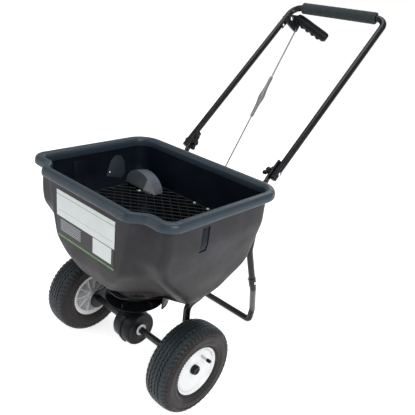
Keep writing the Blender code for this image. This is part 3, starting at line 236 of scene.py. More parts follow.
def surface(name, first, second, gloss=(0.4, 0.55), patches=14.0, grain=700.0, relief=0.2, metal=0.0,
            coat=0.0, dust=0.0, dust_tone=(0.20, 0.15, 0.11), sheen=0.0, grit=0.0003, shine=0.5, low=None):
    """A finish with two tones in soft patches, uneven gloss, a fine grain, some dust and, where given, a
    painted floor reflection low down.
    """
    material = bpy.data.materials.new(name)
    material.use_nodes = True
    tree = material.node_tree
    shader = tree.nodes["Principled BSDF"]
    shader.inputs["Metallic"].default_value = metal
    shader.inputs["Coat Weight"].default_value = coat
    shader.inputs["Coat Roughness"].default_value = COAT_ROUGHNESS
    shader.inputs["Sheen Weight"].default_value = sheen
    shader.inputs["Specular IOR Level"].default_value = shine
    place = tree.nodes.new("ShaderNodeTexCoord").outputs["Object"]
    tone = blend_tones(tree, spread(tree, socket_noise(tree, place, patches, 4.0), 0.0, 1.0), first, second)
    # Painted reflection of the brown floor: a browner tone mixed in towards the bottom, by height.
    if low:
        height = tree.nodes.new("ShaderNodeSeparateXYZ")
        tree.links.new(place, height.inputs["Vector"])
        tone = blend_tones(tree, spread(tree, height.outputs["Z"], 0.8, 0.0, *FLOOR_REFLECTION_SPAN), tone, low)
    if dust:
        specks = spread(tree, socket_noise(tree, place, patches * 9, 8.0), 0.0, dust, 0.52, 0.80)
        tone = blend_tones(tree, specks, tone, dust_tone)
    tree.links.new(tone, shader.inputs["Base Color"])
    tree.links.new(spread(tree, socket_noise(tree, place, patches * 3, 5.0), *gloss),
                   shader.inputs["Roughness"])
    bump = tree.nodes.new("ShaderNodeBump")
    bump.inputs["Strength"].default_value = relief
    bump.inputs["Distance"].default_value = grit
    tree.links.new(socket_noise(tree, place, grain, 3.0), bump.inputs["Height"])
    tree.links.new(bump.outputs["Normal"], shader.inputs["Normal"])
    return material


def shade(tone, share):
    """A darker or lighter colour."""
    return tuple(min(channel * share, 1.0) for channel in tone)


def tones(word, share):
    """A finish's colour, and the same colour darker or lighter."""
    tone = getattr(finish(), word)
    return tone, shade(tone, share)


FINISHES = {}


def material(kind):
    """The material of a kind, made once."""
    if kind not in FINISHES:
        FINISHES[kind] = MAKERS[kind]()
    return FINISHES[kind]


def hopper_plastic():
    """Charcoal polyethylene with a moulded grain, and a browner painted reflection of the floor low down."""
    return surface("hopper_plastic", *tones("hopper", 0.88), (0.46, 0.58), 5.0, 1500.0, 0.35,
                   dust=0.05, shine=0.22, low=(0.027, 0.021, 0.020))


def rolled_plastic():
    """The same plastic on the rolled rim, smoother, in a bluer, lighter tone that is a painted sky
    reflection.
    """
    return surface("rolled_plastic", *tones("rolled", 0.85), (0.34, 0.46), 9.0, 1500.0, 0.25,
                   dust=0.04, shine=0.34)


def inner_plastic():
    """The inner wall: the tub's plastic, painted darker as the shade inside the tub."""
    return surface("inner_plastic", *tones("inside", 0.7), (0.40, 0.55), 6.0, 1500.0, 0.3,
                   dust=0.03, dust_tone=(0.03, 0.035, 0.04), shine=0.14)


def frame_paint():
    """Gloss black powder coat with a slight orange peel."""
    return surface("frame_paint", *tones("paint", 1.5), (0.20, 0.30), 18.0, 420.0, 0.14,
                   dust=0.02, shine=0.32)


def black_plastic():
    """Black moulded plastic."""
    return surface("black_plastic", (0.004, 0.005, 0.007), (0.006, 0.007, 0.009), (0.30, 0.44), 25.0,
                   1100.0, 0.22, dust=0.03, shine=0.18)


def screen_plastic():
    """Black screen, dusty from use."""
    return surface("screen_plastic", (0.004, 0.005, 0.007), (0.008, 0.010, 0.013), (0.30, 0.50), 30.0,
                   900.0, 0.3, dust=0.10, dust_tone=(0.08, 0.09, 0.10), shine=0.4)


def white_plastic():
    """White moulded rims with faint shading in the mould's flow."""
    return surface("white_plastic", *tones("wheel", 0.93), (0.28, 0.40), 20.0, 600.0, 0.08,
                   coat=0.2, dust=0.05, dust_tone=(0.62, 0.62, 0.62))


def nylon():
    """White nylon bushes."""
    return surface("nylon", (0.80, 0.80, 0.78), (0.72, 0.72, 0.69), (0.40, 0.50), 40.0, 800.0, 0.1,
                   dust=0.1, dust_tone=(0.35, 0.33, 0.30))


def tyre_rubber():
    """Tyre rubber, painted bluish on the tread as a sky reflection, with dry dust in the grain."""
    return surface("tyre_rubber", *tones("rubber", 0.70), (0.42, 0.58), 11.0, 520.0, 0.5,
                   dust=0.10, dust_tone=(0.060, 0.060, 0.058), shine=0.34)


def sidewall_rubber():
    """Smoother rubber of the sidewalls, in a browner tone than the tread."""
    return surface("sidewall_rubber", *tones("sidewall", 0.75), (0.40, 0.54), 9.0, 640.0, 0.3,
                   dust=0.10, dust_tone=(0.055, 0.042, 0.035), shine=0.26)


def foam():
    """Closed-cell foam with open pores on its skin."""
    return surface("foam", *tones("foam", 0.7), (0.72, 0.86), 60.0, 950.0, 0.9, sheen=0.1,
                   grit=0.0006, shine=0.2)


def zinc():
    """Zinc-plated steel."""
    return surface("zinc", (0.62, 0.63, 0.64), (0.50, 0.51, 0.53), (0.22, 0.38), 60.0, 500.0, 0.1,
                   metal=1.0)


def sheet_steel():
    """Galvanised sheet with a soft spangle."""
    return surface("sheet_steel", (0.13, 0.15, 0.17), (0.17, 0.19, 0.215), (0.26, 0.40), 22.0, 260.0, 0.10,
                   metal=0.3)


def bright_sheet():
    """The same sheet, painted lighter on the fold's facet as a highlight."""
    return surface("bright_sheet", (0.42, 0.44, 0.46), (0.52, 0.54, 0.56), (0.28, 0.40), 40.0, 260.0, 0.10,
                   metal=0.3)


def drawn_steel():
    """Dull drawn wire."""
    return surface("drawn_steel", (0.17, 0.175, 0.18), (0.22, 0.225, 0.23), (0.36, 0.50), 60.0, 500.0, 0.1,
                   metal=0.4)


def dark_steel():
    """Blackened steel of the axle."""
    return surface("dark_steel", (0.012, 0.012, 0.014), (0.018, 0.018, 0.021), (0.25, 0.40), 50.0, 500.0,
                   0.15, shine=0.4)


def wall_plate_plastic():
    """The dull plate on the inner wall."""
    return surface("wall_plate_plastic", (0.018, 0.024, 0.031), (0.024, 0.031, 0.039), (0.40, 0.50), 30.0,
                   700.0, 0.2, shine=0.3)


def label_white():
    """White print."""
    return surface("label_white", (0.76, 0.79, 0.79), (0.72, 0.75, 0.75), (0.30, 0.36), 30.0, 500.0, 0.04,
                   shine=0.3)


def label_green():
    """Green print."""
    return surface("label_green", *tones("rule", 1.2), (0.32, 0.38), 30.0, 500.0, 0.04)


def label_grey():
    """Grey print."""
    return surface("label_grey", (0.30, 0.31, 0.33), (0.36, 0.37, 0.39), (0.34, 0.40), 90.0, 500.0, 0.04)


def label_clear():
    """Clear film over the charcoal wall."""
    return surface("label_clear", *(shade(finish().hopper, share) for share in (0.85, 0.7)), (0.30, 0.38),
                   6.0, 500.0, 0.05, shine=0.24)


MAKERS = {maker.__name__: maker for maker in (
    hopper_plastic, rolled_plastic, inner_plastic, frame_paint, black_plastic, screen_plastic,
    white_plastic, nylon, tyre_rubber, sidewall_rubber, foam, zinc, sheet_steel, bright_sheet, drawn_steel,
    dark_steel, wall_plate_plastic, label_white, label_green, label_grey, label_clear)}


def linked(name, data):
    """A new object in the scene."""
    obj = bpy.data.objects.new(name, data)
    bpy.context.scene.collection.objects.link(obj)
    return obj


def mesh_from(name, bm):
    """A mesh made from a bmesh, which is freed."""
    mesh = bpy.data.meshes.new(name)
    bm.to_mesh(mesh)
    bm.free()
    return mesh


def settle(name, bm, node, kinds, body="chassis", smooth=32.0, repair=True):
    """Makes a piece that stands for a node, moves it to the frame's Y and fixes it to a body."""
    if repair:
        bmesh.ops.remove_doubles(bm, verts=bm.verts, dist=MERGE)
        bmesh.ops.recalc_face_normals(bm, faces=bm.faces)
    bmesh.ops.translate(bm, vec=SHIFT, verts=bm.verts)
    obj = linked(name, mesh_from(name, bm))
    kinds = (kinds,) if isinstance(kinds, str) else kinds
    for kind in kinds:
        obj.data.materials.append(material(kind))
    obj.data.shade_smooth()
    obj.data.set_sharp_from_angle(angle=math.radians(smooth))
    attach(obj, body)
    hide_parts(node)
    return obj


def bake(obj):
    """Applies a piece's modifiers to its mesh."""
    graph = bpy.context.evaluated_depsgraph_get()
    mesh = bpy.data.meshes.new_from_object(obj.evaluated_get(graph))
    obj.modifiers.clear()
    obj.data = mesh


def fuse(obj, voxel, rounds):
    """Melts a piece's overlapping bodies into one skin with soft joints."""
    remesh = obj.modifiers.new("fuse", "REMESH")
    remesh.mode = "VOXEL"
    remesh.voxel_size = voxel
    remesh.use_smooth_shade = True
    relax = obj.modifiers.new("relax", "SMOOTH")
    relax.factor = 0.5
    relax.iterations = rounds
    bake(obj)


def at(x, point):
    """A point of the middle plane moved to a side."""
    return Vector((x, point[1], point[2]))


def lay(direction, place=(0.0, 0.0, 0.0)):
    """The matrix that lays local Z on a direction, at a place."""
    turn = Vector(direction).to_track_quat("Z", "Y").to_matrix().to_4x4()
    return Matrix.Translation(Vector(place)) @ turn


def softened(points, rounds=2):
    """A line of points with its corners cut, its two ends kept."""
    for _ in range(rounds):
        line = [points[0]]
        for first, second in zip(points, points[1:]):
            first, second = Vector(first), Vector(second)
            line += [first.lerp(second, 0.25), first.lerp(second, 0.75)]
        points = line + [points[-1]]
    return [tuple(point) for point in points]


def verts_in(geom):
    """The vertices in an operator's result."""
    return [part for part in geom if isinstance(part, bmesh.types.BMVert)]


def edges_in(geom):
    """The edges in an operator's result."""
    return [part for part in geom if isinstance(part, bmesh.types.BMEdge)]


def everything(bm):
    """All of a bmesh's vertices, edges and faces."""
    return list(bm.verts) + list(bm.edges) + list(bm.faces)


def turned(profile, direction=RIGHT, place=(0.0, 0.0, 0.0), steps=48, bm=None):
    """Spins a profile of (along, radius) points into a round body."""
    bm = bm or bmesh.new()
    verts = [bm.verts.new((radius, 0.0, along)) for along, radius in profile]
    edges = [bm.edges.new(pair) for pair in zip(verts, verts[1:])]
    spun = bmesh.ops.spin(bm, geom=verts + edges, cent=(0, 0, 0), axis=UP, angle=2 * math.pi, steps=steps,
                          use_merge=True, use_duplicate=False)
    shape = connected(set(verts_in(spun["geom_last"])) | set(verts))
    bmesh.ops.transform(bm, matrix=lay(direction, place), verts=shape)
    return bm


def connected(seeds):
    """Every vertex joined to some seeds."""
    found = {vert for vert in seeds if vert.is_valid}
    front = list(found)
    while front:
        vert = front.pop()
        for link in vert.link_edges:
            other = link.other_vert(vert)
            if other not in found:
                found.add(other)
                front.append(other)
    return list(found)


def pipe(corners, radius, bend, bm=None, bends=12):
    """A round tube: straight runs are extruded and corners are spun."""
    bm = bm or bmesh.new()
    corners = [Vector(corner) for corner in corners]
    first = bmesh.ops.create_circle(bm, segments=detail().steps, radius=radius,
                                    matrix=lay(corners[1] - corners[0], corners[0]))
    edges = list({edge for vert in first["verts"] for edge in vert.link_edges})
    starts = list(edges)
    place = corners[0]
    for index, corner in enumerate(corners[1:], 1):
        goal = corner
        if index < len(corners) - 1:
            back = (corners[index - 1] - corner).normalized()
            onward = (corners[index + 1] - corner).normalized()
            half = back.angle(onward) / 2
            reach = bend / math.tan(half)
            goal = corner + back * reach
        run = bmesh.ops.extrude_edge_only(bm, edges=edges)["geom"]
        bmesh.ops.translate(bm, vec=goal - place, verts=verts_in(run))
        edges = [edge for edge in edges_in(run) if len(edge.link_faces) == 1]
        place = goal
        if goal != corner:
            middle = corner + (back + onward).normalized() * (bend / math.sin(half))
            spun = bmesh.ops.spin(bm, geom=edges, cent=middle, axis=(-back).cross(onward), steps=bends,
                                  angle=math.pi - 2 * half, use_duplicate=False)
            edges = edges_in(spun["geom_last"])
            place = corner + onward * reach
    bmesh.ops.holes_fill(bm, edges=[edge for edge in starts + edges if edge.is_valid], sides=0)
    return bm


BEVELLED_ANGLE = math.radians(60)


def broken(bm, edges, width):
    """Bevels edges in two steps, and gives back the vertices made."""
    return bmesh.ops.bevel(bm, geom=edges, offset=width, segments=2, profile=0.5, affect="EDGES",
                           material=-1, clamp_overlap=True)["verts"]


def slab(outline, thickness, direction=RIGHT, place=(0.0, 0.0, 0.0), edge=0.0006, bm=None):
    """A plate cut to an outline, its edges broken, its middle at a place."""
    bm = bm or bmesh.new()
    verts = [bm.verts.new((u, v, -thickness / 2)) for u, v in outline]
    face = bm.faces.new(verts)
    top = verts_in(bmesh.ops.extrude_face_region(bm, geom=[face])["geom"])
    bmesh.ops.translate(bm, vec=(0, 0, thickness), verts=top)
    shape = connected(top)
    if edge:
        rims = {line for vert in shape for line in vert.link_edges
                if len(line.link_faces) == 2 and line.calc_face_angle(0.0) > BEVELLED_ANGLE}
        shape = connected(broken(bm, list(rims), edge))
    bmesh.ops.transform(bm, matrix=Matrix.Translation(Vector(place)) @ PLANES[direction], verts=shape)
    return bm


PLANES = {
    RIGHT: Matrix(((0, 0, 1, 0), (1, 0, 0, 0), (0, 1, 0, 0), (0, 0, 0, 1))),
    UP: Matrix.Identity(4),
    BACK: Matrix(((1, 0, 0, 0), (0, 0, -1, 0), (0, 1, 0, 0), (0, 0, 0, 1))),
}


def brick(bm, size, spot):
    """A plain box laid by a matrix."""
    return bmesh.ops.create_cube(bm, size=1.0, matrix=spot @ Matrix.Diagonal((*size, 1.0)))["verts"]


def block(size, place, turn=None, edge=0.0, bm=None):
    """A box with its edges broken."""
    bm = bm or bmesh.new()
    made = brick(bm, size, Matrix.Translation(Vector(place)) @ (turn or Matrix.Identity(4)))
    if edge:
        broken(bm, list({line for vert in made for line in vert.link_edges}), edge)
    return bm


def arc(radius, start, end, count, u=0.0, v=0.0):
    """Points on an arc between two angles in degrees."""
    angles = [math.radians(start + (end - start) * i / count) for i in range(count + 1)]
    return [(u + radius * math.cos(angle), v + radius * math.sin(angle)) for angle in angles]


def flipped(bm):
    """The same shape on the other side."""
    bmesh.ops.scale(bm, vec=(-1, 1, 1), verts=bm.verts)
    return bm


def mirror(bm):
    """Adds the other side of a shape that stands on the right."""
    copy = bmesh.ops.duplicate(bm, geom=everything(bm))["geom"]
    bmesh.ops.scale(bm, vec=(-1, 1, 1), verts=verts_in(copy))
    return bm


def read(line, height):
    """A wall line at a height."""
    ordered = sorted(line)
    height = min(max(height, ordered[0][0]), ordered[-1][0])
    for (low, first), (high, last) in zip(ordered, ordered[1:]):
        if height <= high:
            return first + (last - first) * (height - low) / (high - low)
    return ordered[-1][1]


def soft_read(line, height, reach=0.010):
    """A wall line at a height, with its kinks eased."""
    reach = min(reach, WALL_TOP - height, height - PLAN_FOOT)
    return sum(read(line, height + reach * share) for share in (-1, -0.5, 0, 0.5, 1)) / 5


def plan(height, offset=0.0):
    """The tub's outline at a height, moved outwards by an offset."""
    half_width = soft_read(HALF_WIDTH, height) + offset
    rear = soft_read(REAR, height) + offset
    lobe = soft_read(LOBE, height) - offset
    bay = soft_read(BAY, height) - offset
    bay_half = soft_read(BAY_HALF, height)
    start = soft_read(LOBE_START, height)
    corner = soft_read(CORNER, height) + offset
    front = min(soft_read(LOBE_CORNER, height) + offset, (rear - corner - lobe) * 0.9)
    points = [(half_width * 0.28 * i, rear) for i in range(3)]
    points += arc(corner, 90, 0, 9, half_width - corner, rear - corner)
    side = ((half_width, rear - corner), (half_width, lobe + front))
    points += [tuple(Vector(side[0]).lerp(Vector(side[1]), i / 6)) for i in range(1, 6)]
    points += arc(front, 0, -90, 8, half_width - front, lobe + front)
    for i in range(13):
        rise = (1 - math.cos(math.pi * i / 12)) / 2
        points.append((start + (bay_half - start) * i / 12, lobe + (bay - lobe) * rise))
    points += [(bay_half * (1 - i / 4), bay) for i in range(1, 5)]
    return points + [(-x, y) for x, y in reversed(points[1:-1])]


def at_height(outline, z):
    """A flat outline's points at a height."""
    return [(x, y, z) for x, y in outline]


def loft(bm, rings):
    """Extrudes a closed ring of points through the rings after it, and joins the last to the first."""
    verts = [bm.verts.new(point) for point in rings[0]]
    edges = [bm.edges.new(pair) for pair in zip(verts, verts[1:] + verts[:1])]
    order = {vert: i for i, vert in enumerate(verts)}
    for ring in rings[1:] + rings[:1]:
        made = bmesh.ops.extrude_edge_only(bm, edges=edges)["geom"]
        fresh = {}
        for vert in verts_in(made):
            parent = next(edge.other_vert(vert) for edge in vert.link_edges if edge.other_vert(vert) in order)
            fresh[vert] = order[parent]
            vert.co = ring[order[parent]]
        edges = [edge for edge in edges_in(made) if set(edge.verts) <= set(fresh)]
        order = fresh
    bmesh.ops.remove_doubles(bm, verts=verts + list(order), dist=MERGE)


def rim_section():
    """The rolled rim's section as (outwards, up) from the wall's top."""
    corners = ((0.0, -0.004), (0.001, 0.0005), (0.0150, 0.0005), (0.0215, 0.003), (0.0218, 0.013),
               (0.0185, 0.0235), (0.0085, 0.0258), (0.0008, 0.0245), (-0.0052, 0.019), (-0.0058, 0.008),
               (-0.0040, 0.0), (-WALL, -0.006))
    return softened(corners, 2)


def tub():
    """The moulded tub: outer wall, rolled rim, inner wall, floor and outlet."""
    bm = bmesh.new()
    levels = 48
    heights = [PLAN_FOOT + (WALL_TOP - PLAN_FOOT) / levels * i for i in range(levels)]
    rings = [at_height(floor_plan(OUTLET), FLOOR), at_height(floor_plan(*FLOOR_REACH), FLOOR)]
    rings.append(at_height(blended(0.55), FLOOR + 0.005))
    rings += [at_height(plan(z), z) for z in heights]
    rings += [at_height(plan(WALL_TOP, out), WALL_TOP + up) for out, up in rim_section()]
    rings += [at_height(plan(z, -WALL), z) for z in reversed(heights[:-1])]
    rings.append(at_height(floor_plan(*(reach - 0.003 for reach in FLOOR_REACH)), FLOOR + WALL))
    rings.append(at_height(floor_plan(OUTLET), FLOOR + WALL))
    loft(bm, rings)
    bmesh.ops.recalc_face_normals(bm, faces=bm.faces)
    for face in bm.faces:
        middle = face.calc_center_median()
        outwards = face.normal.x * middle.x + face.normal.y * (middle.y - 0.03)
        # Rim faces take the rim tone, a painted sky reflection.
        if middle.z > WALL_TOP:
            face.material_index = 1
        # Faces that look inwards, and the tub's floor, take the inner tone: painted shade.
        elif outwards < 0 or face.normal.z > 0.9:
            face.material_index = 2
    return bm


def pocket_backs():
    """The blind backs of the upright pockets, on the inner walls."""
    half = POCKET_HEIGHT / 2
    levels = (POCKET_Z - half, 0.500, 0.510, 0.520, POCKET_Z + half)
    outline = [(read(HALF_WIDTH, z) - WALL * 0.6, z) for z in levels]
    outline += [(read(HALF_WIDTH, z) - WALL - 0.0030, z) for z in reversed(levels)]
    return mirror(slab(outline, POCKET_WIDTH, BACK, (0, POCKET_Y, 0), 0.0010))


def floor_plan(radius, depth=None):
    """The outline of the outlet, point for point with the tub's plan."""
    depth = depth or radius
    points = []
    for x, y in plan(PLAN_FOOT):
        angle = math.atan2(y - 0.004, x * 0.62)
        points.append((radius * math.cos(angle), depth * math.sin(angle)))
    return points


def blended(share):
    """A plan part of the way from the floor to the lowest wall ring."""
    pairs = zip(floor_plan(*FLOOR_REACH), plan(PLAN_FOOT))
    return [tuple(Vector(first).lerp(Vector(second), share)) for first, second in pairs]


def cut_slots(obj):
    """Opens the upright pocket in each side wall."""
    knife = mirror(block(SLOT_OPENING, (read(HALF_WIDTH, POCKET_Z), POCKET_Y, POCKET_Z)))
    bmesh.ops.translate(knife, vec=SHIFT, verts=knife.verts)
    bmesh.ops.recalc_face_normals(knife, faces=knife.faces)
    tool = linked("slot_knife", mesh_from("slot_knife", knife))
    modifier = obj.modifiers.new("slots", "BOOLEAN")
    modifier.operation = "DIFFERENCE"
    modifier.solver = "EXACT"
    modifier.object = tool
    bake(obj)
    bpy.data.objects.remove(tool)
    obj.data.set_sharp_from_angle(angle=math.radians(CREASE))


class SPREADER_OT_hopper(bpy.types.Operator):
    """Builds the tub."""

    bl_idname = "spreader.hopper"
    bl_label = "Hopper"

    def execute(self, context):
        kinds = ("hopper_plastic", "rolled_plastic", "inner_plastic")
        cut_slots(settle("tub", tub(), "hopper", kinds, smooth=TUB_CREASE))
        settle("pocket_backs", pocket_backs(), "hopper", "inner_plastic", smooth=CREASE)
        return {"FINISHED"}


def net():
    """The diamond net, trimmed to the tub, with its border."""
    bm = bmesh.new()
    count, side_gap, front_gap, cut = 36, 0.010, 0.008, 0.03
    bmesh.ops.create_grid(bm, x_segments=count, y_segments=count, size=detail().mesh_pitch * count / 2)
    bmesh.ops.rotate(bm, matrix=Matrix.Rotation(math.radians(45), 3, "Z"), verts=bm.verts)
    bmesh.ops.scale(bm, vec=(1.12, 0.90, 1.0), verts=bm.verts)
    bmesh.ops.translate(bm, vec=(0, 0, SCREEN_Z + 0.001), verts=bm.verts)
    half_width, rear, lobe, bay, bay_half, start = (
        read(line, SCREEN_Z) for line in (HALF_WIDTH, REAR, LOBE, BAY, BAY_HALF, LOBE_START))
    half_width, rear = half_width - side_gap, rear - side_gap
    lobe, bay = lobe + front_gap, bay + front_gap
    inner = bay_half * 0.85
    step_end = bay + (lobe + 0.002 - bay) * (half_width - inner) / (start - inner)
    corners = [(inner, bay), (half_width, step_end), (half_width, rear - cut), (half_width - cut, rear)]
    corners += [(-x, y) for x, y in reversed(corners)]
    for (x0, y0), (x1, y1) in zip(corners, corners[1:] + corners[:1]):
        bmesh.ops.bisect_plane(bm, geom=everything(bm), plane_co=(x0, y0, 0),
                               plane_no=(y1 - y0, x0 - x1, 0), clear_outer=True)
    bmesh.ops.wireframe(bm, faces=bm.faces, thickness=detail().strand, offset=0.0, use_replace=True,
                        use_boundary=True, use_even_offset=True)
    border = ((0.0042, 0.0), (0.012, 0.0), (0.012, 0.002), (0.0042, 0.002))
    loft(bm, [at_height(plan(SCREEN_Z, -margin), SCREEN_Z + rise) for margin, rise in border])
    return bm


def baffle():
    """The sheet hood: an arched roof, a front that folds back at its right, and a foot tab."""
    middle = centre_of("baffle").x
    base = span("baffle")[0].z
    wide, tall, deep, sheet, front_y = 0.058, 0.060, 0.042, 0.0015, 0.148
    arch_steps, crease_step, right_reach, roof_drop, fold_back = 40, 11, 1.22, 0.10, 0.90
    bm = bmesh.new()
    foot = Vector((middle + 0.026, front_y, base))
    points = [Vector((middle + wide * u * (right_reach if u > 0 else 1.0), 0, base + tall * v))
              for u, v in arc(1.0, 0, 180, arch_steps)]
    crease = points[crease_step] - foot
    grid = []
    for share in (0.0, 0.25, 0.5, 0.75, 1.0):
        row = []
        for step, point in enumerate(points):
            fold = max(0.0, (point.x - foot.x) * crease.z - (point.z - base) * crease.x) / crease.length
            start = front_y + (fold * fold_back if step < crease_step else 0.0)
            drop = (point.z - base) * roof_drop * share
            row.append(bm.verts.new((point.x, start + (front_y + deep - start) * share, point.z - drop)))
        grid.append(row)
    for row, following in zip(grid, grid[1:]):
        for i in range(arch_steps):
            bm.faces.new((row[i], row[i + 1], following[i + 1], following[i]))
    corner = bm.verts.new(foot)
    bm.faces.new([corner] + grid[0][crease_step:])
    # The folded facet takes the lighter sheet: a painted highlight.
    for i in range(crease_step):
        bm.faces.new((corner, grid[0][i], grid[0][i + 1])).material_index = 1
    bmesh.ops.recalc_face_normals(bm, faces=bm.faces)
    bmesh.ops.solidify(bm, geom=bm.faces, thickness=sheet)
    block((0.014, 0.016, 0.0016), (middle + 0.018, front_y - 0.007, base + 0.0012), edge=0.0004, bm=bm)
    block((2 * wide + 0.006, 0.0016, 0.006), (middle, front_y + 0.0008, base + 0.003), bm=bm)
    return bm


def wall_plate():
    """The plate on the left inner wall."""
    low, high = span("wall_plate")
    lean = math.atan2(high.x - low.x - 0.0015, high.z - low.z)
    outline = softened([(0.0760, 0.021), (0.150, 0.0), (0.148, 0.076), (0.103, 0.083), (0.0765, 0.024)], 1)
    bm = slab(outline, 0.0016, edge=0.0005)
    spot = Matrix.Translation((high.x - 0.0012, 0, low.z)) @ Matrix.Rotation(-lean, 4, "Y")
    bmesh.ops.transform(bm, matrix=spot, verts=bm.verts)
    return bm


def bolt_head(radius, height):
    """A domed head's section."""
    return [(0.0, 0.0), (0.0, radius * 0.96), (height * 0.25, radius), (height * 0.7, radius * 0.82),
            (height, radius * 0.42), (height * 1.04, 0.0)]


def bolt(place, direction, radius, height, length=0.0, bm=None):
    """A domed bolt with a driver slot, its head standing out along a direction."""
    shank, slot_width, slot_depth = 0.003, 0.0009, 0.0007
    bm = turned(bolt_head(radius, height), direction, place, 28, bm)
    if length:
        turned([(0.0, 0.0), (0.0, shank), (-length, shank), (-length, 0.0)], direction, place, 20, bm)
    top = lay(direction, Vector(place) + Vector(direction).normalized() * height)
    for turn in (0.0, math.pi / 2):
        brick(bm, (radius * 0.9, slot_width, slot_depth), top @ Matrix.Rotation(turn, 4, "Z"))
    return bm


class SPREADER_OT_fittings(bpy.types.Operator):
    """Builds the screen, its clips, the hood and the wall plate."""

    bl_idname = "spreader.fittings"
    bl_label = "Hopper fittings"

    def execute(self, context):
        settle("net", net(), "screen", "screen_plastic", smooth=SOFT_CREASE, repair=False)
        settle("hood", baffle(), "baffle", ("sheet_steel", "bright_sheet"), smooth=FLAT_CREASE,
               repair=False)
        settle("inner_plate", wall_plate(), "wall_plate", "wall_plate_plastic", smooth=FLAT_CREASE)
        radii = {"screen_clip_left": 0.0062, "screen_clip_right": 0.0062, "baffle_screw": 0.0058}
        for node, radius in radii.items():
            low, high = span(node)
            place = Vector(((low.x + high.x) / 2, low.y + radius, SCREEN_Z + 0.0035))
            bm = bolt(place, UP, radius, 0.0036, 0.003)
            if "clip" in node:
                tab = (place.x, high.y - 0.008, SCREEN_Z + 0.0030)
                block((0.010, 0.016, 0.0012), tab, edge=0.0003, bm=bm)
            settle(node.replace("screw", "bolt") + "_head", bm, node, "zinc", smooth=CREASE)
        place = centre_of("wall_plate_screw")
        place.x = span("wall_plate_screw")[1].x - 0.0040
        bm = bolt(place, (1, 0, -0.12), 0.0052, 0.0030, 0.002)
        settle("wall_plate_bolt", bm, "wall_plate_screw", "zinc", smooth=CREASE)
        return {"FINISHED"}


LABEL_BANDS = (
    # lowest and highest share of the height, lowest and highest share of the width, material
    (0.440, 1.000, 0.0, 1.0, "label_white"),
    (0.900, 0.914, 0.0, 1.0, "label_green"),
    (0.575, 0.583, 0.03, 0.97, "label_green"),
    (0.130, 0.385, 0.07, 0.44, "label_grey"),
    (0.100, 0.425, 0.650, 0.955, "label_white"),
    (0.004, 0.016, 0.02, 1.0, "label_green"),
    (0.028, 0.036, 0.02, 1.0, "label_green"),
)
GREY_LINES = 7


def label():
    """The film on the bay's front, cut at its printed bands, with no words."""
    low, high = span("label")
    bm = block((high - low), (low + high) / 2)
    kinds = ["label_clear", "label_white", "label_green", "label_grey"]
    cuts = set()
    for start, end, left, right, _ in LABEL_BANDS:
        cuts |= {("z", start), ("z", end), ("x", left), ("x", right)}
    start, end = next(band[:2] for band in LABEL_BANDS if band[4] == "label_grey")
    step = (end - start) / GREY_LINES
    cuts |= {("z", start + step * (i + 0.5 * half)) for i in range(GREY_LINES) for half in (0, 1)}
    for axis, share in sorted(cuts):
        spot = low.lerp(high, share)
        normal = UP if axis == "z" else RIGHT
        bmesh.ops.bisect_plane(bm, geom=everything(bm), plane_co=spot, plane_no=normal, dist=0.000001)
    size = high - low
    for face in bm.faces:
        middle = face.calc_center_median() - low
        across, up = middle.x / size.x, middle.z / size.z
        for start_z, end_z, left, right, kind in LABEL_BANDS:
            if start_z < up < end_z and left < across < right:
                if kind != "label_grey" or ((up - start) / step) % 1 > 0.5:
                    face.material_index = kinds.index(kind)
    return bm, kinds


class SPREADER_OT_label(bpy.types.Operator):
    """Builds the wordless label."""

    bl_idname = "spreader.label"
    bl_label = "Label"

    def execute(self, context):
        bm, kinds = label()
        settle("film", bm, "label", kinds, smooth=FLAT_CREASE, repair=False)
        return {"FINISHED"}


def crown(x):
    """The tread's radius at a distance from the tyre's middle."""
    drop, half_tread, roundness = 0.0042, 0.032, 2.6
    return TYRE_RADIUS - drop * (abs(x) / half_tread) ** roundness


def channel(start):
    """A tread groove's section as (along, is groove)."""
    return [(start, True), (start + 0.0026, True), (start + 0.0032, False)]


def tread_half():
    """Half of the tread as (along, is groove) from the middle to the shoulder."""
    return [(0.0, False), (0.0040, False), *channel(0.0046), (0.0046 + 0.0096, False), *channel(0.0150),
            (0.0250, False), (0.0285, False), (0.0320, False)]


